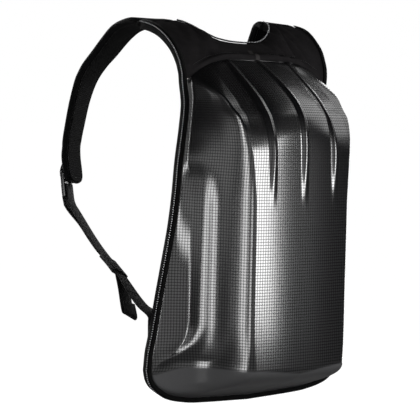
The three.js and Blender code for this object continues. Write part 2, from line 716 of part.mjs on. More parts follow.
// The yoke's outer face and its inner one. The rolled band along the arch stands out of the
// outer face and fades towards its ends; the lowest rows keep clear of the back panel.
function yoke() {
  const spans = Array.from({ length: YOKE_COLUMNS + 1 }, (_, j) => j / YOKE_COLUMNS);
  const strip = [BINDING_FRONT, BINDING_WALL + 2 * GAP];
  const rows = Array.from({ length: YOKE_ROLL_ROWS.length + YOKE_ROWS }, (_, i) => i);
  const half = (row, side) => spans.map((across) => (
    yokePoint(across, yokeRise(row, across, side), side)
  ));
  const edge = (row, side, out) => strip.map((inset) => (
    lateral(yokeRise(row, 1, side), side, inset, out)
  ));
  const base = rows.map((row) => [...half(row, -1).slice(1).reverse(), ...half(row, 1)]);
  const normals = gridNormals(base, V(0, -1, 0.6));
  const outer = base.map((line, i) => line.map((point, j) => {
    const fade = 1 - smooth(0.6, 1, Math.abs(j - YOKE_COLUMNS) / YOKE_COLUMNS);
    const roll = ROLL_HEIGHT * fade * Math.sin(Math.PI * (YOKE_ROLL_ROWS[i] ?? 1));
    return point.clone().addScaledVector(normals[i][j], roll);
  }));
  const inner = base.map((line, i) => line.map((point, j) => {
    const level = smooth(0, YOKE_ROLL_ROWS.length, i);
    const inward = V(0, 1, 0.2).lerp(normals[i][j].clone().negate(), level).normalize();
    return point.clone().addScaledVector(inward, PAD_THICKNESS);
  }));
  const framed = (grid, out) => grid.map((line, row) => [
    ...edge(row, -1, out).reverse(), ...line, ...edge(row, 1, out),
  ]);
  return sheet(framed(outer, YOKE_FACE), framed(inner, YOKE_FACE - PAD_THICKNESS));
}

function neckPiping() {
  const steps = 14;
  const line = [];
  for (let i = -steps; i <= steps; i += 1) {
    const share = i / steps;
    line.push(neckPoint(Math.abs(share) ** 0.8, share < 0 ? -1 : 1));
  }
  const up = V(0, -0.45, 0.89);
  const list = line.map((point, i) => {
    const along = line[Math.min(line.length - 1, i + 1)].clone().sub(line[Math.max(0, i - 1)]);
    const into = along.clone().cross(up).normalize();
    return { point, into, face: into.clone().cross(along).normalize() };
  });
  list.forEach((frame) => {
    if (frame.face.z < 0) frame.face.negate();
  });
  return cordAlong(list, 0, PIPING_RADIUS + GAP, PIPING_RADIUS);
}

// Straps and webbing

// Stations along a list of points: the point, the way along, the width's way and the way out.
function stations(points, widths, count) {
  const curve = new THREE.CatmullRomCurve3(points, false, 'centripetal');
  const turns = new THREE.CatmullRomCurve3(widths, false, 'centripetal');
  return Array.from({ length: count + 1 }, (_, i) => {
    const share = i / count;
    const at = curve.getUtoTmapping(share);
    const along = curve.getTangent(at).normalize();
    const wide = turns.getPoint(at);
    wide.addScaledVector(along, -wide.dot(along)).normalize();
    return { point: curve.getPoint(at), along, wide, out: along.clone().cross(wide).normalize() };
  });
}

// A band of rectangular section with rounded or square edges along its stations.
function band(list, width, thickness, radius, offset = 0) {
  const half = width / 2;
  const deep = thickness / 2;
  const profile = radius > 0
    ? [[-half, -deep + radius], [-half + radius, -deep], [half - radius, -deep],
      [half, -deep + radius], [half, deep - radius], [half - radius, deep],
      [-half + radius, deep], [-half, deep - radius]]
    : [[-half, -deep], [half, -deep], [half, deep], [-half, deep]];
  const shape = profile.map(([w, d]) => new THREE.Vector2(w, d));
  const sections = list.map(({ point, wide, out, share = 1 }) => profile.map(([w, d]) => (
    point.clone().addScaledVector(wide, w * share).addScaledVector(out, d + offset)
  )));
  return loft(sections, shape);
}

// Stations of a shoulder strap, from the crest to its rounded end. It leaves the yoke square
// to the yoke's end and level with it.
function strapStations(side, rows) {
  const frame = armholeFrame(1, side);
  const outer = place(frame, BINDING_WALL + GAP, FLANGE_DEPTH);
  const inner = neckPoint(1, side);
  const wide = inner.clone().sub(outer).normalize();
  const leaves = frame.along.y > 0 ? frame.along : frame.along.clone().negate();
  const thick = wide.clone().cross(leaves).normalize();
  if (thick.z > 0) thick.negate();
  const start = outer.clone().lerp(inner, 0.5)
    .addScaledVector(thick, PAD_THICKNESS / 2)
    .addScaledVector(leaves, CREST_GAP);
  const lead = start.clone().addScaledVector(leaves, PAD_THICKNESS);
  const centre = [start, lead, ...rows.map((row) => V(
    side * STRAP_OUT * row.out,
    STRAP_FORWARD * row.forward,
    STRAP_TOP - STRAP_DROP * row.down,
  ))];
  const across = wide.clone().multiplyScalar(wide.x > 0 ? 1 : -1);
  const widths = [across, across.clone(), ...rows.map((row) => {
    const turn = rad(STRAP_TURN * row.turn);
    return V(Math.cos(turn), -side * Math.sin(turn), 0);
  })];
  const list = stations(centre, widths, 34);
  const last = list[list.length - 1];
  const rounding = [[0.25, 0.97], [0.55, 0.86], [0.8, 0.66], [1, 0.35]];
  for (const [reach, share] of rounding) {
    const point = last.point.clone().addScaledVector(last.along, (reach * STRAP_WIDTH) / 4);
    list.push({ ...last, point, share });
  }
  return list;
}

// The ladder lock's own frame: it hangs from the strap's end on its outer side.
function lockFrame(strap) {
  const last = strap[strap.length - 5];
  const outer = last.out.y > 0 ? last.out : last.out.clone().negate();
  const down = last.along.clone();
  const centre = last.point.clone()
    .addScaledVector(outer, PAD_THICKNESS / 2 + LOCK_THICKNESS / 2 + WEBBING_THICKNESS + 4 * GAP)
    .addScaledVector(down, LOCK_LENGTH / 2);
  return { centre, down, outer, wide: last.wide };
}

const inLock = (lock, wide, down, out) => lock.centre.clone()
  .addScaledVector(lock.wide, wide)
  .addScaledVector(lock.down, down)
  .addScaledVector(lock.outer, out);

// Where the ladder lock's bars lie along it, from its upper end.
const LOCK_WIDTH = WEBBING_WIDTH + 2 * (GAP + LOCK_WALL);
const SLOT_HALF = WEBBING_WIDTH / 2 + GAP;
const SLOTS = [0, 1, 2].map((i) => {
  const start = -LOCK_LENGTH / 2 + LOCK_BAR + i * (LOCK_SLOT + LOCK_BAR);
  return [start, start + LOCK_SLOT];
});

function ladderLock(lock) {
  const half = LOCK_WIDTH / 2;
  const long = LOCK_LENGTH / 2;
  const cut = LOCK_WALL / 2;
  const shape = new THREE.Shape([
    [-half + cut, -long], [half - cut, -long], [half, -long + cut], [half, long - cut],
    [half - cut, long], [-half + cut, long], [-half, long - cut], [-half, -long + cut],
  ].map(([w, d]) => new THREE.Vector2(w, d)));
  for (const [start, end] of SLOTS) {
    shape.holes.push(new THREE.Path([
      [-SLOT_HALF, start], [-SLOT_HALF, end], [SLOT_HALF, end], [SLOT_HALF, start],
    ].map(([w, d]) => new THREE.Vector2(w, d))));
  }
  const geometry = new THREE.ExtrudeGeometry(shape, { depth: LOCK_THICKNESS, bevelEnabled: false });
  geometry.translate(0, 0, -LOCK_THICKNESS / 2);
  const turned = lock.wide.clone().cross(lock.down).dot(lock.outer) > 0 ? 1 : -1;
  const basis = new THREE.Matrix4().makeBasis(
    lock.wide.clone().multiplyScalar(turned), lock.down, lock.outer,
  );
  geometry.applyMatrix4(basis.setPosition(lock.centre));
  return geometry;
}

// The short loop that holds the lock: from the strap's outer face through the upper slot, round
// the upper bar and back.
const ANCHOR_REACH = 16;

function lockAnchor(lock) {
  const [start, end] = SLOTS[0];
  const deep = LOCK_THICKNESS / 2 + GAP + WEBBING_THICKNESS / 2;
  const middle = (start + end) / 2;
  const top = -LOCK_LENGTH / 2 - ANCHOR_REACH;
  const route = [
    [top, -deep], [-LOCK_LENGTH / 2, -deep], [middle - 1, -deep], [middle, -deep + 1],
    [middle, deep - 1], [middle - 1, deep], [-LOCK_LENGTH / 2, deep], [top, -deep + 2.2],
  ];
  return ribbon(route.map(([down, out]) => inLock(lock, 0, down, out)), lock.wide);
}

// A flat ribbon through points that all lie in one plane across its width.
function ribbon(points, wide) {
  const list = points.map((point, i) => {
    const before = points[Math.max(0, i - 1)];
    const after = points[Math.min(points.length - 1, i + 1)];
    const along = after.clone().sub(before).normalize();
    return { point, along, wide, out: along.clone().cross(wide).normalize() };
  });
  return band(list, WEBBING_WIDTH, WEBBING_THICKNESS, 0);
}

// Route of the webbing: flat on the back panel, free to the lock, round the lock's middle bar,
// back along itself through the keeper and ending in a loop.
function webbingRoute(side, rows, lock) {
  const anchorZ = BODY_HEIGHT * WEBBING_ANCHOR_UP;
  const panel = SHELL_WALL - FLANGE_DEPTH + GAP + PANEL_THICKNESS;
  const rest = panel + 2 * GAP + WEBBING_THICKNESS / 2;
  const x = halfWidth(anchorZ) - BINDING_WALL - PANEL_BEVEL - WEBBING_WIDTH / 2;
  const stand = lockStand();
  const entry = inLock(lock, 0, LOCK_LENGTH / 2 + LOCK_WALL, -stand - GAP);
  const lead = inLock(lock, 0, LOCK_LENGTH / 2 + 3 * LOCK_WALL, -stand - 4 * GAP);
  const flat = V(1, 0, 0);
  const points = [
    V(side * x, rest, anchorZ),
    V(side * x, rest + GAP, anchorZ + WEBBING_WIDTH / 2),
    V(side * x, rest + WEBBING_THICKNESS, anchorZ + WEBBING_WIDTH),
  ];
  const widths = [flat.clone(), flat.clone(), flat.clone()];
  const low = anchorZ + WEBBING_WIDTH;
  for (const row of rows) {
    const z = mix(low, entry.z, row.up);
    points.push(V(side * HALF_WIDTH * row.out, STRAP_FORWARD * row.forward, z));
    widths.push(flat.clone().lerp(lock.wide, row.turn).normalize());
  }
  points.push(lead, entry, inLock(lock, 0, LOCK_LENGTH / 4, -stand), inLock(lock, 0, 0, -stand));
  widths.push(...[lead, entry, 0, 0].map(() => lock.wide.clone()));
  return { points, widths };
}

const lockStand = () => LOCK_THICKNESS / 2 + GAP + WEBBING_THICKNESS / 2;

// Wrap round the lock's middle bar, then down its outer side.
function lockWrap(lock) {
  const stand = lockStand();
  const across = (SLOTS[1][0] + SLOTS[1][1]) / 2;
  const [start, end] = [across + 1.2, across];
  return [
    [start, -stand], [end, -stand + 1.2], [end, stand - 1.2], [start, stand],
    [0, stand], [LOCK_LENGTH / 2, stand],
  ].map(([down, out]) => inLock(lock, 0, down, out));
}

function webbing(side, rows, lock) {
  const { points, widths } = webbingRoute(side, rows, lock);
  const main = stations(points, widths, 44);
  const outward = (station) => (station.out.dot(lock.outer) > 0 ? 1 : -1);
  const turn = outward(main[main.length - 1]);
  main.forEach((station) => station.out.multiplyScalar(turn));
  return main;
}

// Where the keeper sits along the webbing, as a share of its length from the pack.
const KEEPER_FROM = 0.36;

function webbingBand(main, lock) {
  const wrap = lockWrap(lock);
  const step = WEBBING_THICKNESS + GAP;
  const keeper = Math.round(KEEPER_FROM * (main.length - 1));
  const free = main.slice(keeper, -5).reverse();
  const tail = free.map((station, i) => {
    const spread = mix(2 * lockStand(), step, smooth(0, 0.4, i / free.length));
    return { ...station, point: station.point.clone().addScaledVector(station.out, spread) };
  });
  const last = tail[tail.length - 1];
  const down = last.along.clone().negate().lerp(V(0, 0, -1), 0.55).normalize();
  const out = last.out.clone();
  const loop = [[0.3, 2], [0.6, 5], [0.85, 7.5], [1, 7], [1.02, 4.5], [0.92, 2.6], [0.7, 1.4]]
    .map(([reach, away]) => ({
      ...last,
      point: last.point.clone().addScaledVector(down, reach * TAIL_LOOP).addScaledVector(out, away),
    }));
  const wrapped = wrap.map((point) => ({ point, wide: lock.wide }));
  const all = [...main.slice(0, -1), ...wrapped, ...tail, ...loop];
  const list = all.map((station, i) => {
    const before = all[Math.max(0, i - 1)].point;
    const after = all[Math.min(all.length - 1, i + 1)].point;
    const along = after.clone().sub(before).normalize();
    const wide = station.wide.clone().addScaledVector(along, -station.wide.dot(along)).normalize();
    return { point: station.point, along, wide, out: along.clone().cross(wide).normalize() };
  });
  return band(list, WEBBING_WIDTH, WEBBING_THICKNESS, 0);
}

// The keeper: a flat sleeve round both layers of webbing, over a few of its stations.
const KEEPER_STATIONS = 6;

function keeperSleeve(main) {
  const first = Math.round(KEEPER_FROM * (main.length - 1));
  const offset = (WEBBING_THICKNESS + GAP) / 2;
  const half = WEBBING_WIDTH / 2 + GAP;
  const deep = WEBBING_THICKNESS + GAP / 2 + GAP;
  const corners = [[-1, -1], [1, -1], [1, 1], [-1, 1]];
  const ring = ({ point, wide, out }, wall) => corners.map(([w, d]) => point.clone()
    .addScaledVector(wide, w * (half + wall))
    .addScaledVector(out, d * (deep + wall) + offset));
  const list = main.slice(first + 1, first + 1 + KEEPER_STATIONS);
  return sleeve(
    list.map((station) => ring(station, KEEPER_WALL)),
    list.map((station) => ring(station, 0)),
  );
}

// Materials

const finish = (color, roughness, metalness = 0) => (
  new THREE.MeshStandardMaterial({ color, roughness, metalness })
);
const MATERIALS = {
  shell: finish(0x101012, 0.3),
  neoprene: finish(0x141315, 0.85),
  mesh: finish(0x101010, 0.95),
  binding: finish(0x0d0d0e, 0.9),
  piping: finish(0xb9bcc0, 0.4),
  webbing: finish(0x2a2a2c, 0.9),
  plastic: finish(0x0b0b0c, 0.25),
};

// Assembly

const pack = new THREE.Group();
// The origin is the middle between the two places where the straps sit on the shoulders.
const REST_FORWARD = (LEFT_CREST.forward + RIGHT_CREST.forward) / 2;
const REST_HEIGHT = (LEFT_CREST.height + RIGHT_CREST.height) / 2 + FLANGE_DEPTH - PAD_THICKNESS;
pack.position.set(0, -REST_FORWARD, -REST_HEIGHT);

function add(name, geometry, material) {
  const mesh = new THREE.Mesh(geometry, material);
  mesh.name = name;
  pack.add(mesh);
}

add('hard_shell', hardShell(), MATERIALS.shell);
add('back_panel', backPanel(), MATERIALS.mesh);
add('edge_binding', edgeBinding(), MATERIALS.binding);
add('edge_piping', edgePiping(), MATERIALS.piping);
add('yoke', yoke(), MATERIALS.neoprene);
add('neck_piping', neckPiping(), MATERIALS.piping);

for (const [name, side, strapRows, webbingRows] of [
  ['left', -1, LEFT_STRAP, LEFT_WEBBING],
  ['right', 1, RIGHT_STRAP, RIGHT_WEBBING],
]) {
  const strap = strapStations(side, strapRows);
  const lock = lockFrame(strap);
  const main = webbing(side, webbingRows, lock);
  const strapBand = band(strap, STRAP_WIDTH, PAD_THICKNESS, STRAP_EDGE_RADIUS);
  add(`${name}_shoulder_strap`, strapBand, MATERIALS.mesh);
  add(`${name}_ladder_lock`, ladderLock(lock), MATERIALS.plastic);
  add(`${name}_lock_anchor`, lockAnchor(lock), MATERIALS.webbing);
  add(`${name}_webbing`, webbingBand(main, lock), MATERIALS.webbing);
  add(`${name}_keeper`, keeperSleeve(main), MATERIALS.webbing);
}

export default pack;
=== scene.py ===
"""Hard shell backpack: finished surfaces of its moulded shell, padded back, soft yoke and straps."""

import math

import bmesh
import bpy
import numpy as np
from mathutils import Matrix, Vector


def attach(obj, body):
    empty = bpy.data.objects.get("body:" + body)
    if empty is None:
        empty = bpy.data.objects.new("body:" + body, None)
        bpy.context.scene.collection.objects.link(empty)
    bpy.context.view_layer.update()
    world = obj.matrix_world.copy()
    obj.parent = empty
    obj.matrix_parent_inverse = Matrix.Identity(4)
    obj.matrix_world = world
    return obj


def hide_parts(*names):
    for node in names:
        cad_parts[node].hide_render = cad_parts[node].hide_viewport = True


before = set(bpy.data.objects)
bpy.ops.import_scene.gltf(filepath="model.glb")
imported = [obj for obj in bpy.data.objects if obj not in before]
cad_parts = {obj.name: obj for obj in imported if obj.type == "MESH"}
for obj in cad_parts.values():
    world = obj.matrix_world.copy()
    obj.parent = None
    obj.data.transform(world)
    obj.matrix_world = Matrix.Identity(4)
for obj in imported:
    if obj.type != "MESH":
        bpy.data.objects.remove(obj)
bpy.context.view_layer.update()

bl_info = {
    "name": "Hard Shell Backpack",
    "version": (1, 0, 0),
    "blender": (4, 5, 0),
    "location": "View3D > Sidebar > Backpack",
    "description": "Builds a hard shell backpack with a padded back, a soft yoke, straps and webbing",
    "category": "Add Mesh",
}

# Sizes of the construction, in metres

BODY_HEIGHT = 0.441
HALF_WIDTH = 0.166
SHELL_DEPTH = 0.102
SHELL_WALL = 0.003
CORNER_HEIGHT = 0.048
ARCH_HALF = 0.121
ARCH_DROP = 0.034
FLANGE_DEPTH = 0.004
FOLD_DEPTH = 0.022
FACE_HALF = 0.081
UNDERSIDE_SLOPE = 0.345
SKIRT_LEAST = 0.003
TOP_SLOPE = 1.9
CORNER_BLEND = 0.034
LOWER_BLEND = 0.034
TOP_BLEND = 0.014
CROWN_LEVEL = 0.025
CROWN_CHANGE = (0.72, 0.84)
RIB_HALF_WIDTH = 0.007
RIB_PITCH = 0.052
RIB_FADE_TOP = 0.75
RIB_FADE_END = 0.57
PANEL_THICKNESS = 0.010
BINDING_WALL = 0.0012
BINDING_SIDE = 0.007
BINDING_FRONT = 0.005
PIPING_RADIUS = 0.0013
PAD_THICKNESS = 0.010
ROLL_WIDTH = 0.012
CREST_HALF = 0.128
CREST_TILT = 0.006
NECK_HALF = 0.069
NECK_HEIGHT = 0.461
NECK_BACK = 0.024
STRAP_WIDTH = 0.061
STRAP_FORWARD = 0.253
STRAP_TOP = 0.483
STRAP_DROP = 0.192
STRAP_OUT = 0.110
STRAP_TURN = 36
WEBBING_WIDTH = 0.025
WEBBING_THICKNESS = 0.0016
LOCK_LENGTH = 0.036
LOCK_WALL = 0.004
LOCK_THICKNESS = 0.0046
LOCK_BAR = 0.0045
LOCK_SLOT = 0.005
LOCK_ROUNDING = 0.0011
KEEPER_WALL = 0.0012
TAIL_LOOP = 0.052
GAP = 0.00035
SEAM_GAP = 0.0008
CREST_GAP = 0.0016
CREST = {-1: (0.079, 0.482), 1: (0.067, 0.486)}

ARCH_END = BODY_HEIGHT - ARCH_DROP
FLANGE_WIDTH = BINDING_FRONT + 2 * GAP
FRONT = FLANGE_DEPTH + GAP + BINDING_WALL
PANEL_FRONT = SHELL_WALL - FLANGE_DEPTH + GAP
REST_FORWARD = (CREST[-1][0] + CREST[1][0]) / 2
REST_HEIGHT = (CREST[-1][1] + CREST[1][1]) / 2 + FLANGE_DEPTH - PAD_THICKNESS
ORIGIN = np.array([0, -REST_FORWARD, -REST_HEIGHT])
ROLL_TOP = BODY_HEIGHT + ROLL_WIDTH - REST_HEIGHT


def table(names, *rows):
    """Rows of numbers as named columns."""
    return dict(zip(names.split(), np.array(rows, dtype=float).T))


# Shares of the sizes above. Heights are measured from the hem, depths from the shell's rim.
SIDE = table(
    "up out",
    (0.109, 1), (0.16, 0.988), (0.2, 0.964), (0.32, 0.904), (0.442, 0.84), (0.52, 0.801),
    (0.61, 0.771), (0.7, 0.752), (0.8, 0.718), (0.86, 0.705), (0.923, 0.729),
)
HEM = table(
    "out up",
    (0, 0), (0.54, 0.07), (0.72, 0.16), (0.82, 0.26), (0.89, 0.4), (0.945, 0.55), (0.985, 0.77), (1, 1),
)
ARCH = table("out down", (0, 0), (0.35, 0.01), (0.5, 0.05), (0.69, 0.26), (0.85, 0.57), (1, 1))
SECTIONS = table(
    "up foot foot_depth corner flare groove",
    (0, 0.94, 0.24, 1, 1, 0),
    (0.115, 0.93, 0.26, 1, 1, 0),
    (0.135, 0.885, 0.38, 1, 0.95, 0.05),
    (0.161, 0.8, 0.64, 1, 0.6, 0.4),
    (0.2, 0.735, 0.9, 1, 0.2, 0.8),
    (0.25, 0.71, 1, 1, 0, 1),
    (0.45, 0.705, 1, 1, 0, 1),
    (0.58, 0.699, 1, 1, 0, 1),
    (0.65, 0.693, 0.78, 1.01, 0, 0.75),
    (0.71, 0.69, 0.36, 1.02, 0, 0.2),
    (0.78, 0.67, 0.3, 1.07, 0, 0),
    (0.875, 0.65, 0.28, 1.13, 0, 0),
    (0.923, 0.665, 0.28, 1.17, 0, 0),
    (1, 0.665, 0.28, 1.17, 0, 0),
)
WALL = table(
    "inward shoulder grooved flared",
    (0, 0, 0, 0), (0.14, 0.16, 0.185, 0.03), (0.44, 0.5, 0.385, 0.17), (0.68, 0.78, 0.66, 0.38),
    (0.86, 1, 0.9, 0.74), (1, 1.17, 1.08, 1.06),
)
FACE = table(
    "up depth crown",
    (0, 1.035, 0.05), (0.12, 1.035, 0.05), (0.3, 1.02, 0.05), (0.55, 1.005, 0.045), (0.64, 0.995, 0.045),
    (0.73, 0.98, 0.05), (0.78, 0.965, 0.08), (0.832, 0.91, 0.125), (0.868, 0.815, 0.185),
    (0.911, 0.61, 0.185), (0.955, 0.34, 0.15), (0.99, 0.1, 0.03), (1, 0.04, 0),
)
TEXTURE_EDGE = table("out up", (0, 0.046), (0.081, 0.054), (0.12, 0.052), (0.15, 0.044), (0.17, 0.042))
CROWN = table("out fall", (0, 0), (0.33, 0.25), (0.65, 0.72), (1, 1))
ARMHOLE = table(
    "forward up out",
    (0, 0, 0), (0, 0.13, 0.15), (0.03, 0.3, 0.35), (0.1, 0.45, 0.45), (0.2, 0.6, 0.6), (0.38, 0.76, 0.7),
    (0.57, 0.88, 0.85), (0.79, 0.96, 1), (1, 1, 1),
)
NECK = table(
    "out up forward",
    (0, 0, 0), (0.26, 0.02, 0.04), (0.52, 0.14, 0.18), (0.76, 0.43, 0.36), (0.9, 0.7, 0.54),
    (0.98, 0.9, 0.77), (1, 1, 1),
)
STRAPS = {
    -1: table(
        "forward down out turn",
        (0.41, -0.014, 0.91, 0.16), (0.495, 0.002, 0.925, 0.36), (0.563, 0.031, 0.936, 0.55),
        (0.634, 0.088, 0.945, 0.66), (0.74, 0.2, 0.959, 0.72), (0.828, 0.297, 0.968, 0.8),
        (0.892, 0.397, 0.973, 0.88), (0.94, 0.533, 0.982, 0.94), (0.975, 0.694, 0.99, 0.97),
        (0.998, 0.83, 0.996, 1), (1, 0.923, 1, 1), (0.982, 1.035, 1, 1),
    ),
    1: table(
        "forward down out turn",
        (0.355, 0.03, 0.905, 0.05), (0.385, 0.12, 0.91, 0.12), (0.43, 0.215, 0.92, 0.25),
        (0.495, 0.305, 0.935, 0.45), (0.593, 0.443, 0.955, 0.66), (0.68, 0.63, 0.97, 0.8),
        (0.735, 0.823, 0.985, 0.9), (0.763, 1.02, 0.993, 0.97), (0.767, 1.213, 1, 1),
        (0.751, 1.35, 1, 1),
    ),
}
WEBBING_ANCHOR_UP = 0.2
WEBBINGS = {
    -1: table(
        "out forward up turn",
        (0.905, 0.12, 0.09, 0.6), (0.865, 0.36, 0.37, 1), (0.828, 0.56, 0.56, 1), (0.765, 0.76, 0.76, 1),
    ),
    1: table(
        "out forward up turn",
        (0.89, 0.17, -0.22, 0.5), (0.846, 0.33, -0.52, 0.9), (0.782, 0.52, -0.46, 1), (0.71, 0.67, 0.05, 1),
    ),
}
SIDES = {-1: "left", 1: "right"}


# Curves and blends

def column(rows, key, value):
    """A smooth curve through one column of a table, which never overshoots its rows."""
    x, y = rows[key], rows[value]
    slope = np.diff(y) / np.diff(x)
    product = slope[:-1] * slope[1:]
    total = np.where(product > 0, slope[:-1] + slope[1:], 1)
    inner = np.where(product > 0, 2 * product / total, 0)
    tangent = np.concatenate([slope[:1], inner, slope[-1:]])

    def curve(at):
        at = np.clip(at, x[0], x[-1])
        i = np.clip(np.searchsorted(x, at, side="right") - 1, 0, len(x) - 2)
        span = x[i + 1] - x[i]
        t = (at - x[i]) / span
        rest = 1 - t
        rise = (1 + 2 * t) * rest**2 * y[i] + t**2 * (3 - 2 * t) * y[i + 1]
        return rise + t * rest * span * (rest * tangent[i] - t * tangent[i + 1])

    return curve


def mix(a, b, t):
    return a + (b - a) * t


def smooth(low, high, at):
    t = np.clip((at - low) / (high - low), 0, 1)
    return t * t * (3 - 2 * t)


def blend_min(a, b, reach):
    """The smaller of two heights, with their meeting line rounded over the given reach."""
    share = np.clip(0.5 + 0.5 * (b - a) / reach, 0, 1)
    return mix(b, a, share) - reach * share * (1 - share)


def unit(v):
    return v / np.maximum(np.linalg.norm(v, axis=-1, keepdims=True), 1e-12)


def along_line(points):
    """Unit directions along a line of points."""
    return unit(np.gradient(points, axis=0))


def spline(points, t):
    """A centripetal curve through points, at shares t of its way."""
    p = np.vstack([2 * points[0] - points[1], points, 2 * points[-1] - points[-2]])
    last = len(points) - 1
    at = np.clip(t * last, 0, last - 1e-9)
    i = at.astype(int)
    w = (at - i)[:, None]
    a, b, c, d = p[i], p[i + 1], p[i + 2], p[i + 3]
    chords = [np.sqrt(np.linalg.norm(r - q, axis=1))[:, None] for q, r in ((a, b), (b, c), (c, d))]
    middle = np.where(chords[1] < 1e-4, 1, chords[1])
    before = np.where(chords[0] < 1e-4, middle, chords[0])
    after = np.where(chords[2] < 1e-4, middle, chords[2])
    leave = ((b - a) / before - (c - a) / (before + middle) + (c - b) / middle) * middle
    arrive = ((c - b) / middle - (d - b) / (middle + after) + (d - c) / after) * middle
    rest = 1 - w
    path = (1 + 2 * w) * rest**2 * b + w**2 * (3 - 2 * w) * c
    return path + w * rest * (rest * leave - w * arrive)


def evenly(points, count):
    """Shares of a curve's way that lie evenly along it."""
    fine = np.linspace(0, 1, 40 * len(points))
    length = np.linalg.norm(np.diff(spline(points, fine), axis=0), axis=1).cumsum()
    length = np.concatenate([[0], length])
    return np.interp(np.linspace(0, length[-1], count), length, fine)


# Outline and depth of the shell

side_out = column(SIDE, "up", "out")
hem_up = column(HEM, "out", "up")
arch_down = column(ARCH, "out", "down")
foot_out = column(SECTIONS, "up", "foot")
foot_depth = column(SECTIONS, "up", "foot_depth")
corner_out = column(SECTIONS, "up", "corner")
flare_share = column(SECTIONS, "up", "flare")
groove_share = column(SECTIONS, "up", "groove")
shoulder_wall = column(WALL, "inward", "shoulder")
grooved_wall = column(WALL, "inward", "grooved")
flared_wall = column(WALL, "inward", "flared")
face_depth = column(FACE, "up", "depth")
face_crown = column(FACE, "up", "crown")
crown_fall = column(CROWN, "out", "fall")
texture_edge = column(TEXTURE_EDGE, "out", "up")
armhole_forward = column(ARMHOLE, "up", "forward")
armhole_out = column(ARMHOLE, "up", "out")
neck_up = column(NECK, "out", "up")
neck_forward = column(NECK, "out", "forward")


def half_width(z):
    return HALF_WIDTH * side_out(z / BODY_HEIGHT)


def hem_height(x, inset):
    return inset + (CORNER_HEIGHT - inset) * hem_up(np.minimum(1, np.abs(x) / (HALF_WIDTH - inset)))


def arch_height(x):
    return BODY_HEIGHT - ARCH_DROP * arch_down(np.minimum(1, np.abs(x) / ARCH_HALF))


def flange_at(z):
    return half_width(z) - FLANGE_WIDTH


def foot_at(z):
    return np.minimum(HALF_WIDTH * foot_out(z / BODY_HEIGHT), flange_at(z) - SKIRT_LEAST)


def corner_at(z):
    return FACE_HALF * corner_out(z / BODY_HEIGHT)


def wall_depth(x, z):
    """Depth of the wall between the fold and the face's corner, without end: the face cuts it."""
    up = z / BODY_HEIGHT
    start = FOLD_DEPTH * foot_depth(up)
    inward = (foot_at(z) - x) / (foot_at(z) - corner_at(z))
    flare, groove = flare_share(up), groove_share(up)
    share = flare * flared_wall(inward) + groove * grooved_wall(inward)
    share = share + (1 - flare - groove) * shoulder_wall(inward)
    return start + (SHELL_DEPTH - start) * (share + 2 * np.maximum(0, inward - 1))


def skirt_depth(x, z):
    """Depth of the skirt, from the flat flange under the binding to the wall's foot."""
    flange = flange_at(z)
    share = np.clip((flange - x) / (flange - foot_at(z)), 0, 1)
    return mix(FLANGE_DEPTH, FOLD_DEPTH * foot_depth(z / BODY_HEIGHT), share**1.2)


def rib_height(x, z, height):
    """Height of the three ribs over the face."""
    fade = smooth(RIB_FADE_END, RIB_FADE_TOP, z / BODY_HEIGHT)
    nearest = np.clip(np.round(x / RIB_PITCH), -1, 1) * RIB_PITCH
    away = np.minimum(1, np.abs(x - nearest) / RIB_HALF_WIDTH)
    return height * fade * np.cos(away * math.pi / 2) ** 2


def reach_at(reach, depth, ground):
    """A blend's reach, which dies out on ground lower than the given depth."""
    return reach * np.clip(depth / ground, 0.05, 1)


def shell_depth(x, z, ribs):
    """Depth of the shell's face, and how far its underside lies in front of it."""
    side = np.abs(x)
    up = z / BODY_HEIGHT
    full = math.hypot(FACE_HALF, CROWN_LEVEL) - CROWN_LEVEL
    level = (np.hypot(side, CROWN_LEVEL) - CROWN_LEVEL) / full
    fall = mix(level**2, crown_fall(level), smooth(*CROWN_CHANGE, up))
    face = SHELL_DEPTH * (face_depth(up) - fall * face_crown(up)) + rib_height(x, z, ribs)
    wall = np.where(side > foot_at(z), skirt_depth(side, z), wall_depth(side, z))
    under = FLANGE_DEPTH + (z - hem_height(x, FLANGE_WIDTH)) / UNDERSIDE_SLOPE
    top = FLANGE_DEPTH + (arch_height(x) - z) * TOP_SLOPE
    front = blend_min(face, wall, reach_at(CORNER_BLEND, wall, 2 * FOLD_DEPTH))
    body = blend_min(front, top, TOP_BLEND)
    whole = blend_min(body, under, reach_at(LOWER_BLEND, under, SHELL_DEPTH / 2))
    return np.maximum(FLANGE_DEPTH, whole), under - body


# Edge of the pack

def armhole_points(up, side):
    """Points of the armhole's edge at shares of the way up to the shoulder's crest."""
    forward, height = CREST[side]
    return np.stack([
        side * (ARCH_HALF + (CREST_HALF - ARCH_HALF) * armhole_out(up)),
        forward * armhole_forward(up),
        ARCH_END + (height - ARCH_END) * up,
    ], axis=-1)


CORNER_START = 0.54
EDGE_STEPS = {"armhole": 20, "side": 26, "corner": 12, "hem": 8}


def body_edge(side, fine):
    """The body's edge from the arch's end to the middle of the hem."""
    z = np.linspace(ARCH_END, CORNER_HEIGHT, EDGE_STEPS["side"] * fine, endpoint=False)
    upright = np.stack([half_width(z), 0 * z, z], axis=-1)
    turn = np.linspace(0, math.pi / 2, EDGE_STEPS["corner"] * fine, endpoint=False)
    corner = HALF_WIDTH * mix(CORNER_START, 1, np.cos(turn))
    straight = np.linspace(HALF_WIDTH * CORNER_START, 0, EDGE_STEPS["hem"] * fine + 1)
    x = np.concatenate([corner, straight])
    hem = np.stack([x, 0 * x, hem_height(x, 0)], axis=-1)
    return np.vstack([upright, hem]) * (side, 1, 1)


def edge_line(fine):
    """The whole edge, from the left shoulder's crest round the hem to the right one's."""
    halves = []
    for side in SIDES:
        up = 1 - np.linspace(0, 1, EDGE_STEPS["armhole"] * fine, endpoint=False)
        halves.append(np.vstack([armhole_points(up, side), body_edge(side, fine)]))
    return np.vstack([halves[0][:-1], halves[1][::-1]])


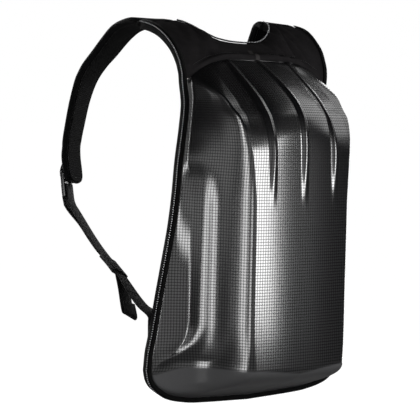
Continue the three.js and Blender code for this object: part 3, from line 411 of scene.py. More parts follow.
def edge_frames(points):
    """Frames along the edge: the way along it, into the pack and out of its face."""
    along = along_line(points)
    rises = np.maximum(np.hypot(along[:, 1], along[:, 2]), 1e-9)
    tilted = np.stack([0 * rises, -np.abs(along[:, 2]) / rises, np.abs(along[:, 1]) / rises], axis=-1)
    face = np.where(np.abs(along[:, 1:2]) > 0.02, tilted, (0, -1, 0))
    into = unit(np.cross(along, face))
    middle = np.stack([0 * rises, points[:, 1], np.maximum(points[:, 2], BODY_HEIGHT / 2)], axis=-1)
    away = np.sum(into * (middle - points), axis=1, keepdims=True) < 0
    return along, np.where(away, -into, into), face


def place(points, into, face, inset, out):
    return points + into * inset + face * out


def armhole_frame(up, side):
    """One frame of the armhole's edge."""
    points = armhole_points(np.clip(up + np.array([-0.01, 0, 0.01]), 0, 1), side)
    along, into, face = edge_frames(points)
    return points[1], along[1], into[1], face[1]


# Meshes

def add_object(name, data):
    """An object that shows the data, linked to the scene."""
    thing = bpy.data.objects.new(name, data)
    bpy.context.scene.collection.objects.link(thing)
    return thing


def lay_uv(mesh, flat):
    """Gives a mesh surface metres as its UV map, one pair for each point."""
    corners = np.empty(len(mesh.loops), dtype=np.int32)
    mesh.loops.foreach_get("vertex_index", corners)
    layer = mesh.uv_layers.get("surface") or mesh.uv_layers.new(name="surface")
    layer.data.foreach_set("uv", flat[corners].astype(np.float32).ravel())


def make_object(name, points, faces, material, uv=None, smooth_faces=True, recalc=True):
    """A mesh object in the part's frame. uv holds one pair for each point."""
    mesh = bpy.data.meshes.new(name)
    mesh.from_pydata((points + ORIGIN).tolist(), [], faces)
    if uv is not None:
        lay_uv(mesh, uv)
    mesh.materials.append(material)
    if recalc:
        work = bmesh.new()
        work.from_mesh(mesh)
        bmesh.ops.recalc_face_normals(work, faces=work.faces)
        work.to_mesh(mesh)
        work.free()
    mesh.polygons.foreach_set("use_smooth", [smooth_faces] * len(mesh.polygons))
    return add_object(name, mesh)


def points_of(piece):
    flat = np.empty(3 * len(piece.data.vertices))
    piece.data.vertices.foreach_get("co", flat)
    return flat.reshape(-1, 3)


def move_points(piece, points):
    piece.data.vertices.foreach_set("co", points.ravel())
    piece.data.update()


def grid_faces(rows, columns, start=0):
    index = start + np.arange(rows * columns).reshape(rows, columns)
    quads = np.stack([index[:-1, :-1], index[:-1, 1:], index[1:, 1:], index[1:, :-1]], axis=-1)
    return quads.reshape(-1, 4).tolist()


def rim_loop(rows, columns):
    """The points round the outside of a grid, in order."""
    index = np.arange(rows * columns).reshape(rows, columns)
    return np.concatenate([index[0, :-1], index[:-1, -1], index[-1, :0:-1], index[:0:-1, 0]])


def wall_between(outer, inner):
    """Points and faces of a wall between two grids of the same size, closed round its rim."""
    rows, columns = outer.shape[:2]
    count = rows * columns
    faces = grid_faces(rows, columns) + [f[::-1] for f in grid_faces(rows, columns, count)]
    rim = rim_loop(rows, columns)
    following = np.roll(rim, -1)
    faces += np.stack([rim, rim + count, following + count, following], axis=-1).tolist()
    return np.vstack([outer.reshape(-1, 3), inner.reshape(-1, 3)]), faces


def tube(sections, closed=False):
    """Points and faces of a tube through closed sections of the same number of points."""
    rows, count = sections.shape[:2]
    index = np.arange(rows * count).reshape(rows, count)
    following = np.roll(index, -1, axis=1)
    a, b = index[:-1], following[:-1]
    c, d = following[1:], index[1:]
    if closed:
        a, b = index, following
        c, d = np.roll(following, -1, axis=0), np.roll(index, -1, axis=0)
    faces = np.stack([a, b, c, d], axis=-1).reshape(-1, 4).tolist()
    if not closed:
        faces += [index[0, ::-1].tolist(), index[-1].tolist()]
    return sections.reshape(-1, 3), faces


def tube_uv(sections):
    """Metres round and along a tube. The round one runs out and back, so that it closes."""
    rows, count = sections.shape[:2]
    steps = np.linalg.norm(np.diff(sections, axis=1), axis=2).mean(axis=0)
    around = np.concatenate([[0], steps.cumsum()])
    half = around[-1] / 2
    around = half - np.abs(around - half)
    middle = sections.mean(axis=1)
    along = np.concatenate([[0], np.linalg.norm(np.diff(middle, axis=0), axis=1).cumsum()])
    return np.stack([np.tile(around, rows), np.repeat(along, count)], axis=-1)


CORNER_POINTS = 3


def rounded(width, thickness, radius):
    """A rectangle with rounded corners, as offsets across and out."""
    points = []
    for turn, (w, d) in enumerate(((1, 1), (-1, 1), (-1, -1), (1, -1))):
        for i in range(CORNER_POINTS + 1):
            angle = (turn + i / CORNER_POINTS) * math.pi / 2
            points.append((
                w * (width / 2 - radius) + radius * math.cos(angle),
                d * (thickness / 2 - radius) + radius * math.sin(angle),
            ))
    return np.array(points)


def swept(points, wide, out, shape):
    """Sections of one shape along a line, laid across and out of each point."""
    return points[:, None] + wide[:, None] * shape[None, :, :1] + out[:, None] * shape[None, :, 1:]


def settle(piece):
    """Turns a piece's modifiers into a plain mesh."""
    graph = bpy.context.evaluated_depsgraph_get()
    mesh = bpy.data.meshes.new_from_object(piece.evaluated_get(graph))
    piece.modifiers.clear()
    piece.data = mesh
    return piece


def settle_subdivision(piece):
    """Subdivides a piece once and shades it smooth."""
    modifier = piece.modifiers.new("subdivision", "SUBSURF")
    modifier.levels = modifier.render_levels = 1
    settle(piece)
    piece.data.polygons.foreach_set("use_smooth", [True] * len(piece.data.polygons))


def finish_piece(piece, slot, *nodes):
    """Makes a piece ride on the pack and stand for CAD nodes. The slot argument is not used."""
    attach(piece, "root")
    if nodes:
        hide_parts(*nodes)


def tube_piece(name, sections, look, slot, *nodes, closed=False):
    """A finished piece whose surface is one tube."""
    points, faces = tube(sections, closed)
    finish_piece(make_object(name, points, faces, material_of(look), tube_uv(sections)), slot, *nodes)


# Geometry Nodes for stitches and piping dots

def repeat_tree():
    """A tree that sets one small rounded body after another along a line."""
    found = bpy.data.node_groups.get("Repeat Along Line")
    if found:
        return found
    tree = bpy.data.node_groups.new("Repeat Along Line", "GeometryNodeTree")
    face = tree.interface
    face.new_socket("Line", in_out="INPUT", socket_type="NodeSocketGeometry")
    for label in ("Spacing", "Length", "Width", "Height"):
        socket = face.new_socket(label, in_out="INPUT", socket_type="NodeSocketFloat")
        socket.subtype = "DISTANCE"
    face.new_socket("Material", in_out="INPUT", socket_type="NodeSocketMaterial")
    face.new_socket("Pieces", in_out="OUTPUT", socket_type="NodeSocketGeometry")
    given, curve, points, body, size, shaped, smoothed, instances, real, painted, result = (
        tree.nodes.new(kind) for kind in (
            "NodeGroupInput", "GeometryNodeMeshToCurve", "GeometryNodeCurveToPoints", "GeometryNodeMeshUVSphere",
            "ShaderNodeCombineXYZ", "GeometryNodeTransform", "GeometryNodeSetShadeSmooth",
            "GeometryNodeInstanceOnPoints", "GeometryNodeRealizeInstances", "GeometryNodeSetMaterial",
            "NodeGroupOutput",
        ))
    points.mode = "LENGTH"
    for label, value in {"Segments": 6, "Rings": 4, "Radius": 0.5}.items():
        body.inputs[label].default_value = value
    for source, output, target, label in (
        (given, "Line", curve, "Mesh"), (curve, "Curve", points, "Curve"), (given, "Spacing", points, "Length"),
        (given, "Width", size, "X"), (given, "Height", size, "Y"), (given, "Length", size, "Z"),
        (body, "Mesh", shaped, "Geometry"), (size, "Vector", shaped, "Scale"),
        (shaped, "Geometry", smoothed, "Geometry"), (points, "Points", instances, "Points"),
        (points, "Rotation", instances, "Rotation"), (smoothed, "Geometry", instances, "Instance"),
        (instances, "Instances", real, "Geometry"), (real, "Geometry", painted, "Geometry"),
        (given, "Material", painted, "Material"), (painted, "Geometry", result, "Pieces"),
    ):
        tree.links.new(source.outputs[output], target.inputs[label])
    return tree


def repeat_along(name, lines, spacing, length, width, height, material):
    """A row of small bodies along each line of points."""
    points = np.vstack(lines)
    edges, start = [], 0
    for line in lines:
        edges += [(start + i, start + i + 1) for i in range(len(line) - 1)]
        start += len(line)
    mesh = bpy.data.meshes.new(name)
    mesh.from_pydata((points + ORIGIN).tolist(), edges, [])
    piece = add_object(name, mesh)
    tree = repeat_tree()
    modifier = piece.modifiers.new("repeat", "NODES")
    modifier.node_group = tree
    given = {item.name: item.identifier for item in tree.interface.items_tree if item.in_out == "INPUT"}
    values = {"Spacing": spacing, "Length": length, "Width": width, "Height": height, "Material": material}
    for label, value in values.items():
        modifier[given[label]] = value
    return settle(piece)


# Shader node groups

class Graph:
    """Adds nodes to a tree, so that a material reads as a formula."""

    def __init__(self, tree):
        self.tree = tree

    def add(self, kind, **settings):
        node = self.tree.nodes.new(kind)
        for key, value in settings.items():
            setattr(node, key, value)
        return node

    def feed(self, socket, value):
        if isinstance(value, bpy.types.NodeSocket):
            self.tree.links.new(value, socket)
        else:
            socket.default_value = value

    def feed_all(self, node, values):
        for label, value in values.items():
            self.feed(node.inputs[label], value)

    def math(self, operation, *values):
        node = self.add("ShaderNodeMath", operation=operation)
        for socket, value in zip(node.inputs, values):
            self.feed(socket, value)
        return node.outputs[0]

    def ramp(self, value, low, high, to_low=0.0, to_high=1.0):
        node = self.add("ShaderNodeMapRange", interpolation_type="SMOOTHSTEP")
        for socket, given in zip(node.inputs, (value, low, high, to_low, to_high)):
            self.feed(socket, given)
        return node.outputs[0]

    def noise(self, vector, scale, detail=2.0, roughness=0.5):
        node = self.add("ShaderNodeTexNoise")
        self.feed_all(node, {"Vector": vector, "Scale": scale, "Detail": detail, "Roughness": roughness})
        return node.outputs["Fac"]

    def blend(self, share, a, b):
        node = self.add("ShaderNodeMix", data_type="RGBA")
        self.feed(node.inputs[0], share)
        self.feed(node.inputs[6], a)
        self.feed(node.inputs[7], b)
        return node.outputs[2]

    def bump(self, height, distance):
        node = self.add("ShaderNodeBump")
        self.feed_all(node, {"Height": height, "Distance": distance, "Strength": 1.0})
        return node.outputs["Normal"]


def shader_group(name, inputs, outputs, build):
    """A shader node group with named inputs and outputs, built once."""
    found = bpy.data.node_groups.get(name)
    if found:
        return found
    tree = bpy.data.node_groups.new(name, "ShaderNodeTree")
    for label, kind, default in inputs:
        socket = tree.interface.new_socket(label, in_out="INPUT", socket_type=f"NodeSocket{kind}")
        if default is not None:
            socket.default_value = default
    for label in outputs:
        tree.interface.new_socket(label, in_out="OUTPUT", socket_type="NodeSocketFloat")
    given = tree.nodes.new("NodeGroupInput")
    result = tree.nodes.new("NodeGroupOutput")
    for label, value in build(Graph(tree), given.outputs).items():
        tree.links.new(value, result.inputs[label])
    return tree


def dot_grid_group():
    """A square grid of raised dots: the dots' height, and a slow unevenness from dot to dot."""

    def build(graph, given):
        axes = graph.add("ShaderNodeSeparateXYZ")
        graph.feed(axes.inputs[0], given["Vector"])
        far = []
        for axis in ("X", "Y"):
            share = graph.math("DIVIDE", axes.outputs[axis], given["Pitch"])
            inside = graph.math("SUBTRACT", graph.math("FRACT", share), 0.5)
            far.append(graph.math("POWER", graph.math("ABSOLUTE", inside), 3.0))
        radius = graph.math("POWER", graph.math("ADD", far[0], far[1]), 1 / 3)
        height = graph.ramp(radius, given["Size"], graph.math("MULTIPLY", given["Size"], 0.7))
        uneven = graph.noise(given["Vector"], graph.math("DIVIDE", 0.45, given["Pitch"]))
        return {"Height": height, "Unevenness": uneven}

    inputs = (("Vector", "Vector", None), ("Pitch", "Float", 0.003), ("Size", "Float", 0.42))
    return shader_group("Dot Grid", inputs, ("Height", "Unevenness"), build)


def weave_group():
    """A plain weave: threads across and along that pass over and under each other."""

    def build(graph, given):
        axes = graph.add("ShaderNodeSeparateXYZ")
        graph.feed(axes.inputs[0], given["Vector"])
        waves = []
        for axis, pitch in (("X", "Across"), ("Y", "Along")):
            turn = graph.math("DIVIDE", axes.outputs[axis], given[pitch])
            waves.append(graph.math("SINE", graph.math("MULTIPLY", turn, 2 * math.pi)))
        crossing = graph.math("MULTIPLY", waves[0], waves[1])
        height = graph.ramp(crossing, -1.0, 1.0)
        fibre = graph.noise(given["Vector"], graph.math("DIVIDE", 0.9, given["Along"]), 4.0, 0.7)
        return {"Height": height, "Fibre": fibre}

    inputs = (("Vector", "Vector", None), ("Across", "Float", 0.002), ("Along", "Float", 0.002))
    return shader_group("Weave", inputs, ("Height", "Fibre"), build)


def wear_group():
    """Handling marks: slow smudges, fine dust and short scratches."""

    def build(graph, given):
        smudge = graph.noise(given["Vector"], 9.0, 3.0, 0.6)
        dust = graph.noise(given["Vector"], 900.0, 2.0, 0.7)
        stretched = graph.add("ShaderNodeMapping")
        graph.feed(stretched.inputs["Vector"], given["Vector"])
        stretched.inputs["Scale"].default_value = (14, 14, 160)
        lines = graph.noise(stretched.outputs[0], 3.0, 4.0, 0.8)
        return {
            "Smudge": graph.ramp(smudge, 0.35, 0.7),
            "Dust": graph.ramp(dust, 0.6, 0.75),
            "Scratch": graph.ramp(lines, 0.68, 0.75),
        }

    return shader_group("Handling Wear", (("Vector", "Vector", None),), ("Smudge", "Dust", "Scratch"), build)


def use_group(graph, tree, **values):
    node = graph.add("ShaderNodeGroup", node_tree=tree)
    graph.feed_all(node, values)
    return node.outputs


# Materials. No name here is one that the imported part's own materials have.

DOT_SIZE = 0.47
MESH_CELL = 0.4
KNIT_PITCH = 0.0011
FILM_ON_DOTS = 0.68
FILM_BETWEEN = 0.32
FILM_UNDERSIDE = 0.04
SEAM_COLOUR = (0.045, 0.042, 0.042, 1)


def new_material(name):
    """An empty node material with its graph, its shader and its coordinates."""
    material = bpy.data.materials.new(name)
    material.use_nodes = True
    graph = Graph(material.node_tree)
    return material, graph, graph.tree.nodes["Principled BSDF"], graph.add("ShaderNodeTexCoord").outputs


def scaled(colour, times=1):
    """An opaque colour, its brightness multiplied."""
    return (*(c * times for c in colour[:3]), 1.0)


def material_of(name):
    """The named material, made at its first use."""
    return bpy.data.materials.get(name) or LOOKS[name](name)


def carbon_plastic(name):
    """Glossy black plastic with embossed dots, which leave the underside smooth. The dots' tops are painted
    lighter, a painted glint.
    """
    settings = bpy.context.scene.backpack_shell
    material, graph, shader, at = new_material(name)
    dots = use_group(graph, dot_grid_group(), Vector=at["UV"], Pitch=settings.dot_pitch, Size=DOT_SIZE)
    wear = use_group(graph, wear_group(), Vector=at["Object"])
    textured = graph.add("ShaderNodeAttribute", attribute_name="textured").outputs["Fac"]
    raised = graph.math("MULTIPLY", dots["Height"], textured)
    # The dots' tops are painted lighter than the plastic between them: a painted glint, varied at random from
    # dot to dot.
    dot_painted_glint = graph.math("MULTIPLY", raised, graph.ramp(dots["Unevenness"], 0.3, 0.7, 0.55, 1.0))
    plain = graph.math("SUBTRACT", 1.0, textured)
    embossed = graph.blend(dot_painted_glint, scaled(settings.colour), scaled(settings.colour, 2.5))
    rough = graph.math("MULTIPLY_ADD", wear["Smudge"], 0.06, settings.roughness)
    film = graph.math("MULTIPLY_ADD", raised, FILM_ON_DOTS, graph.math("MULTIPLY", textured, FILM_BETWEEN))
    graph.feed_all(shader, {
        # The smooth underside is painted grey, far lighter than the black plastic: a painted reflection of the
        # floor.
        "Base Color": graph.blend(plain, embossed, scaled(settings.underside)),
        "Roughness": graph.math("MULTIPLY_ADD", wear["Dust"], 0.05, rough),
        "Specular IOR Level": 0.04,
        "Coat Weight": graph.math("MULTIPLY_ADD", plain, FILM_UNDERSIDE, film),
        "Coat Roughness": settings.gloss,
        "Coat IOR": 2.2,
        "Normal": graph.bump(raised, settings.dot_height),
    })
    return material


def neoprene_cloth(name):
    """Matt black neoprene with a fine knitted face and a lighter seam in the rolled band's middle."""
    colour = bpy.context.scene.backpack_fabric.neoprene
    material, graph, shader, at = new_material(name)
    knit = use_group(graph, weave_group(), Vector=at["Object"], Across=KNIT_PITCH, Along=KNIT_PITCH)
    slow = graph.noise(at["Object"], 60.0, 3.0, 0.6)
    fibre = graph.math("MULTIPLY", knit["Fibre"], graph.ramp(slow, 0.3, 0.7, 0.5, 1.0))
    cloth = graph.blend(fibre, scaled(colour), scaled(colour, 2.4))
    axes = graph.add("ShaderNodeSeparateXYZ")
    graph.feed(axes.inputs[0], at["Object"])
    beside = graph.ramp(graph.math("ABSOLUTE", axes.outputs["X"]), 0.002, 0.0045, 1.0, 0.0)
    on_roll = graph.ramp(axes.outputs["Z"], ROLL_TOP - 0.002, ROLL_TOP, 1.0, 0.0)
    height = graph.math("MULTIPLY_ADD", knit["Fibre"], 0.6, graph.math("MULTIPLY", slow, 1.5))
    graph.feed_all(shader, {
        "Base Color": graph.blend(graph.math("MULTIPLY", beside, on_roll), cloth, SEAM_COLOUR),
        "Roughness": graph.ramp(knit["Fibre"], 0.2, 0.8, 0.72, 0.9),
        "Sheen Weight": 0.01,
        "Sheen Roughness": 0.5,
        "Specular IOR Level": 0.0,
        "Normal": graph.bump(height, 0.0005),
    })
    return material


def air_mesh(name):
    """Black spacer mesh: a close grid of small open cells, painted darker inside as painted shade."""
    settings = bpy.context.scene.backpack_fabric
    material, graph, shader, at = new_material(name)
    cells = use_group(graph, dot_grid_group(), Vector=at["UV"], Pitch=settings.mesh_pitch, Size=MESH_CELL)
    fibre = graph.noise(at["Object"], 1400.0, 3.0, 0.7)
    slow = graph.noise(at["Object"], 40.0, 2.0, 0.5)
    thread = graph.math("SUBTRACT", 1.0, cells["Height"])
    # The open cells are painted far darker than the threads: painted shade inside the cells. The slow noise
    # varies the threads' tone at random.
    tone = graph.math("MULTIPLY", thread, graph.ramp(slow, 0.3, 0.7, 0.6, 1.0))
    graph.feed_all(shader, {
        "Base Color": graph.blend(tone, scaled(settings.mesh, 0.15), scaled(settings.mesh, 3.0)),
        "Roughness": graph.ramp(fibre, 0.3, 0.7, 0.7, 0.9),
        "Sheen Weight": 0.002,
        "Specular IOR Level": 0.02,
        "Normal": graph.bump(graph.math("MULTIPLY_ADD", fibre, 0.35, thread), 0.0006),
    })
    return material


def tape(name, colour, ribs, across, sheen):
    """Woven tape with ribs across it, its threads' crests painted lighter than the hollows between them as
    painted shade.
    """
    material, graph, shader, at = new_material(name)
    woven = use_group(graph, weave_group(), Vector=at["UV"], Across=across, Along=ribs)
    slow = graph.noise(at["Object"], 120.0, 2.0, 0.6)
    # The weave's height sets the colour: crests lighter and hollows darker, which is painted shade. The slow
    # noise varies the tone at random.
    tone = graph.math("MULTIPLY", woven["Height"], graph.ramp(slow, 0.3, 0.7, 0.6, 1.0))
    height = graph.math("MULTIPLY_ADD", woven["Fibre"], 0.4, woven["Height"])
    graph.feed_all(shader, {
        "Base Color": graph.blend(tone, scaled(colour), scaled(colour, 1.7)),
        "Roughness": graph.ramp(woven["Fibre"], 0.3, 0.7, 0.62, 0.85),
        "Sheen Weight": sheen,
        "Specular IOR Level": 0.12,
        "Normal": graph.bump(height, 0.0004),
    })
    return material


def binding_tape(name):
    return tape(name, bpy.context.scene.backpack_trim.binding, 0.0009, 0.0011, 0.002)


def webbing_tape(name):
    return tape(name, bpy.context.scene.backpack_trim.webbing, 0.0013, 0.0046, 0.005)


def silver_dots(name):
    """Silvery moulded plastic, a little dulled by handling."""
    colour = bpy.context.scene.backpack_trim.piping
    material, graph, shader, at = new_material(name)
    wear = use_group(graph, wear_group(), Vector=at["Object"])
    graph.feed_all(shader, {
        "Base Color": graph.blend(wear["Smudge"], scaled(colour), scaled(colour, 0.6)),
        "Roughness": graph.math("MULTIPLY_ADD", wear["Dust"], 0.2, 0.3),
        "Metallic": graph.math("MULTIPLY_ADD", wear["Smudge"], -0.1, 0.2),
        "Normal": graph.bump(wear["Scratch"], 0.0001),
    })
    return material


def moulded_plastic(name):
    """Black moulded plastic with a light grain."""
    material, graph, shader, at = new_material(name)
    wear = use_group(graph, wear_group(), Vector=at["Object"])
    tone = graph.math("MULTIPLY", wear["Smudge"], 0.5)
    graph.feed_all(shader, {
        "Base Color": graph.blend(tone, (0.002, 0.002, 0.0022, 1), (0.006, 0.006, 0.0065, 1)),
        "Roughness": graph.math("MULTIPLY_ADD", wear["Smudge"], 0.1, 0.2),
        "Normal": graph.bump(graph.noise(at["Object"], 1600.0, 2.0, 0.6), 0.00004),
    })
    return material


def stitch_thread(name):
    """Black twisted thread."""
    colour = bpy.context.scene.backpack_trim.thread
    material, graph, shader, at = new_material(name)
    twist = graph.noise(at["Object"], 2400.0, 2.0, 0.6)
    graph.feed_all(shader, {
        "Base Color": graph.blend(twist, scaled(colour), scaled(colour, 2.2)),
        "Roughness": graph.ramp(twist, 0.2, 0.8, 0.5, 0.7),
        "Normal": graph.bump(twist, 0.0002),
    })
    return material


LOOKS = {
    "carbon dot plastic": carbon_plastic,
    "neoprene cloth": neoprene_cloth,
    "air mesh": air_mesh,
    "binding tape": binding_tape,
    "webbing tape": webbing_tape,
    "silver dots": silver_dots,
    "moulded plastic": moulded_plastic,
    "thread": stitch_thread,
}


# Shell

SHELL_COLUMNS = (46, 22, 6, 2)
SHELL_ROWS = 90
ROW_EASING = 0.11
RIM_INSET = 0.002
RISE_FROM = 0.52


def shell_columns(z, fine):
    """Where the shell's columns stand at the given heights, from the middle to the rim."""
    stops = [0 * z, corner_at(z), foot_at(z), flange_at(z), half_width(z) - RIM_INSET]
    columns = []
    for low, high, count in zip(stops[:-1], stops[1:], SHELL_COLUMNS):
        columns += [mix(low, high, i / (count * fine)) for i in range(count * fine)]
    return np.array(columns + [stops[-1]])


def shell_grid(fine):
    """Across and up of the shell's points: columns from the hem to the arch, closer at both ends."""
    low = shell_columns(np.array([CORNER_HEIGHT]), fine)[:, 0]
    high = shell_columns(np.array([ARCH_END]), fine)[:, 0]
    rim = hem_height(low, RIM_INSET)
    flange = np.maximum(hem_height(low, FLANGE_WIDTH), rim + RIM_INSET)
    share = np.linspace(0, 1, SHELL_ROWS * fine + 1)
    eased = share - ROW_EASING * np.sin(2 * math.pi * share)
    z = flange + np.outer(eased, arch_height(high) - SEAM_GAP - flange)
    z = np.vstack([rim, mix(rim, flange, 0.5), z])
    x = np.empty_like(z)
    for j in range(len(low)):
        x[:, j] = shell_columns(np.clip(z[:, j], CORNER_HEIGHT, ARCH_END), fine)[j]
    return np.hstack([-x[:, :0:-1], x]), np.hstack([z[:, :0:-1], z])


def surface_metres(x, z, ribs):
    """Metres across and up the shell's surface. Only the curved top adds to the way up."""
    step = 0.001
    across = np.arange(0, HALF_WIDTH + step, step)
    up = np.arange(0, BODY_HEIGHT + step, step)
    depth = shell_depth(*np.meshgrid(across, up), ribs)[0]
    run = np.cumsum(np.hypot(step, np.gradient(depth, axis=1)), axis=1)
    rise = np.cumsum(np.hypot(step, np.gradient(depth[:, 0]) * (up > BODY_HEIGHT * RISE_FROM)))
    i = np.clip(z / step, 0, len(up) - 1.001)
    j = np.clip(np.abs(x) / step, 0, len(across) - 1.001)
    i0, j0 = i.astype(int), j.astype(int)
    low, high = (mix(run[row, j0], run[row, j0 + 1], j - j0) for row in (i0, i0 + 1))
    return np.sign(x) * mix(low, high, i - i0), np.interp(z, up, rise)


def grid_normals(grid, facing):
    normals = unit(np.cross(np.gradient(grid, axis=0), np.gradient(grid, axis=1)))
    return np.where(np.sum(normals * facing, axis=-1, keepdims=True) < 0, -normals, normals)


def build_shell():
    """The moulded shell, hollow, with the dots' grid on its surface."""
    settings = bpy.context.scene.backpack_shell
    x, z = shell_grid(2)
    depth, over = shell_depth(x, z, settings.rib_height)
    outer = np.stack([x, -depth, z], axis=-1)
    inner = outer - SHELL_WALL * grid_normals(outer, (0, -1, 0))
    for edge in (np.s_[0, :], np.s_[-1, :], np.s_[:, 0], np.s_[:, -1]):
        inner[edge] = outer[edge] + (0, SHELL_WALL, 0)
    inner[..., 1] = np.minimum(inner[..., 1], SHELL_WALL - FLANGE_DEPTH)
    points, faces = wall_between(outer, inner)
    uv = np.stack(surface_metres(x, z, settings.rib_height), axis=-1).reshape(-1, 2)
    look = material_of("carbon dot plastic")
    piece = make_object("moulded_shell", points, faces, look, np.vstack([uv, uv]))
    edge = texture_edge(np.abs(x))
    textured = (smooth(0.0, 0.004, over) * smooth(edge - 0.0015, edge + 0.0015, z)).ravel()
    layer = piece.data.attributes.new("textured", "FLOAT", "POINT")
    layer.data.foreach_set("value", np.concatenate([textured, textured]).astype(np.float32))
    finish_piece(piece, "shell", "hard_shell")


# Back panel

def panel_edge(inset, count):
    """The back panel's outline as points across and up, even along its way."""
    right = body_edge(1, 2)[:, [0, 2]]
    top_x = np.linspace(right[0, 0], 0, 30)[1:]
    top = np.stack([top_x, arch_height(top_x)], axis=-1)
    half = np.vstack([right[::-1], top])
    loop = np.vstack([half, (half * (-1, 1))[1:-1][::-1]])
    closed = np.vstack([loop, loop[:1]])
    length = np.concatenate([[0], np.linalg.norm(np.diff(closed, axis=0), axis=1).cumsum()])
    at = np.linspace(0, length[-1], count, endpoint=False)
    even = np.stack([np.interp(at, length, closed[:, k]) for k in (0, 1)], axis=-1)
    ahead = unit(np.roll(even, -1, axis=0) - np.roll(even, 1, axis=0))
    return even + inset * np.stack([-ahead[:, 1], ahead[:, 0]], axis=-1)


PANEL_INSET = 0.0035
PANEL_VOXEL = 0.005
PANEL_PRESSURE = 4.0
PANEL_SWELL = 0.006
PANEL_FRAMES = 20
PANEL_STAND = 0.002
PANEL_PRESSED = 0.001
PANEL_CHANNELS = (0, 0.058)
PANEL_CROSS_CHANNELS = (0.12, 0.235, 0.33)
CHANNEL_REACH = 0.006


def inflate(piece):
    """Swells a closed mesh as cloth under pressure, and holds each point within the swell."""
    remesh = piece.modifiers.new("remesh", "REMESH")
    remesh.mode = "VOXEL"
    remesh.voxel_size = PANEL_VOXEL
    settle(piece)
    start = points_of(piece)
    cloth = piece.modifiers.new("cloth", "CLOTH")
    cloth.settings.use_pressure = True
    cloth.settings.uniform_pressure_force = PANEL_PRESSURE
    cloth.settings.effector_weights.gravity = 0
    cloth.settings.tension_stiffness = 40
    cloth.settings.quality = 4
    cloth.point_cache.frame_start, cloth.point_cache.frame_end = 1, PANEL_FRAMES
    for number in range(1, PANEL_FRAMES + 1):
        bpy.context.scene.frame_set(number)
    settle(piece)
    bpy.context.scene.frame_set(1)
    move = points_of(piece) - start
    length = np.linalg.norm(move, axis=1, keepdims=True)
    move_points(piece, start + move * np.minimum(1, PANEL_SWELL / np.maximum(length, 1e-9)))


def build_back_panel():
    """The padded back panel: blown up as cloth, then sewn down in channels."""
    edge = panel_edge(BINDING_WALL + GAP + PANEL_INSET, 240)
    low, high = PANEL_FRONT + 0.001, PANEL_FRONT + PANEL_THICKNESS - 0.003
    bottom = np.stack([edge[:, 0], np.full(len(edge), low), edge[:, 1]], axis=-1)
    points, faces = tube(np.stack([bottom, bottom + (0, high - low, 0)]))
    piece = make_object("padded_back", points, faces, material_of("air mesh"), smooth_faces=False)
    inflate(piece)
    settle_subdivision(piece)
    spots = points_of(piece) - ORIGIN
    across, up = np.abs(spots[:, 0]), spots[:, 2]
    seams = [np.abs(across - line) for line in PANEL_CHANNELS]
    seams += [np.where(across < PANEL_CHANNELS[1], 1, np.abs(up - line)) for line in PANEL_CROSS_CHANNELS]
    channel_depth = bpy.context.scene.backpack_fabric.channel_depth
    dent = channel_depth * np.exp(-((np.min(seams, axis=0) / CHANNEL_REACH) ** 2))
    spots[:, 1] -= dent * smooth(PANEL_FRONT + 0.003, PANEL_FRONT + 0.006, spots[:, 1])
    # The padding stands a little over the part's panel, and is pressed in under the webbing's ends.
    webbing = smooth(0.07, 0.08, up) * (1 - smooth(0.12, 0.13, up)) * smooth(0.105, 0.115, across)
    limit = PANEL_FRONT + PANEL_THICKNESS + PANEL_STAND * (1 - webbing) - PANEL_PRESSED * webbing
    spots[:, 1] = np.clip(spots[:, 1], PANEL_FRONT + 0.0002, limit)
    move_points(piece, spots + ORIGIN)
    lay_uv(piece.data, spots[:, [0, 2]])
    finish_piece(piece, "padding", "back_panel")


# Edge trim

def binding_profile():
    """The tape's section, folded from the panel's side over the flange, as inset and out."""
    under = FLANGE_DEPTH + GAP
    turn = np.linspace(math.pi, math.pi / 2, 6)
    bend = [
        (BINDING_WALL * (1 + math.cos(a)) + 0.0002, FRONT - 0.0016 + 0.0016 * math.sin(a)) for a in turn
    ]
    return np.array([
        (BINDING_WALL * 0.8, -BINDING_SIDE), (0.0002, -BINDING_SIDE + 0.0004), (-0.0003, -0.004),
        (-0.0002, 0), (0, FRONT - 0.003), *bend, (BINDING_FRONT * 0.8, FRONT + 0.0002),
        (BINDING_FRONT, FRONT - 0.0005), (BINDING_FRONT, under), (BINDING_WALL, under),
        (BINDING_WALL, -BINDING_SIDE + 0.0005),
    ])


def build_trim():
    """The folded binding, its cord of bright dots, and the neck's piping."""
    line = edge_line(2)
    _, into, face = edge_frames(line)
    sections = np.stack([place(line, into, face, q, d) for q, d in binding_profile()], axis=1)
    tube_piece("folded_binding", sections, "binding tape", "binding", "edge_binding")
    out = -GAP - PIPING_RADIUS * 0.4
    cord_line = place(line, into, face, out, 0.003)
    round_cord("edge_cord", cord_line, into, face, PIPING_RADIUS * 0.75, "edge_piping")
    bright_dots("edge_dots", place(line, into, face, out - PIPING_RADIUS * 0.4, 0.0031), 0.55, 1.5)
    build_neck_piping()


def round_cord(name, line, one, other, radius, node):
    """The piping's cord, which stands for the part's piping."""
    turn = np.linspace(0, 2 * math.pi, 8, endpoint=False)
    sections = np.stack([
        line + one * radius * math.cos(a) + other * radius * math.sin(a) for a in turn
    ], axis=1)
    tube_piece(name, sections, "binding tape", "piping", node)


def bright_dots(name, line, long, wide):
    """The piping's dots: long is a share of their spacing, wide of the piping's radius."""
    spacing = bpy.context.scene.backpack_trim.dot_spacing
    dots = repeat_along(
        name, [line], spacing, spacing * long, PIPING_RADIUS * wide, PIPING_RADIUS * 1.3,
        material_of("silver dots"),
    )
    finish_piece(dots, "piping")


def neck_points(out, side):
    """Points of the neck's edge at shares of the way out to the shoulder's crest."""
    forward, height = CREST[side]
    return np.stack([
        side * NECK_HALF * out,
        mix(NECK_BACK, forward, neck_forward(out)),
        mix(NECK_HEIGHT, height + CREST_TILT, neck_up(out)),
    ], axis=-1)


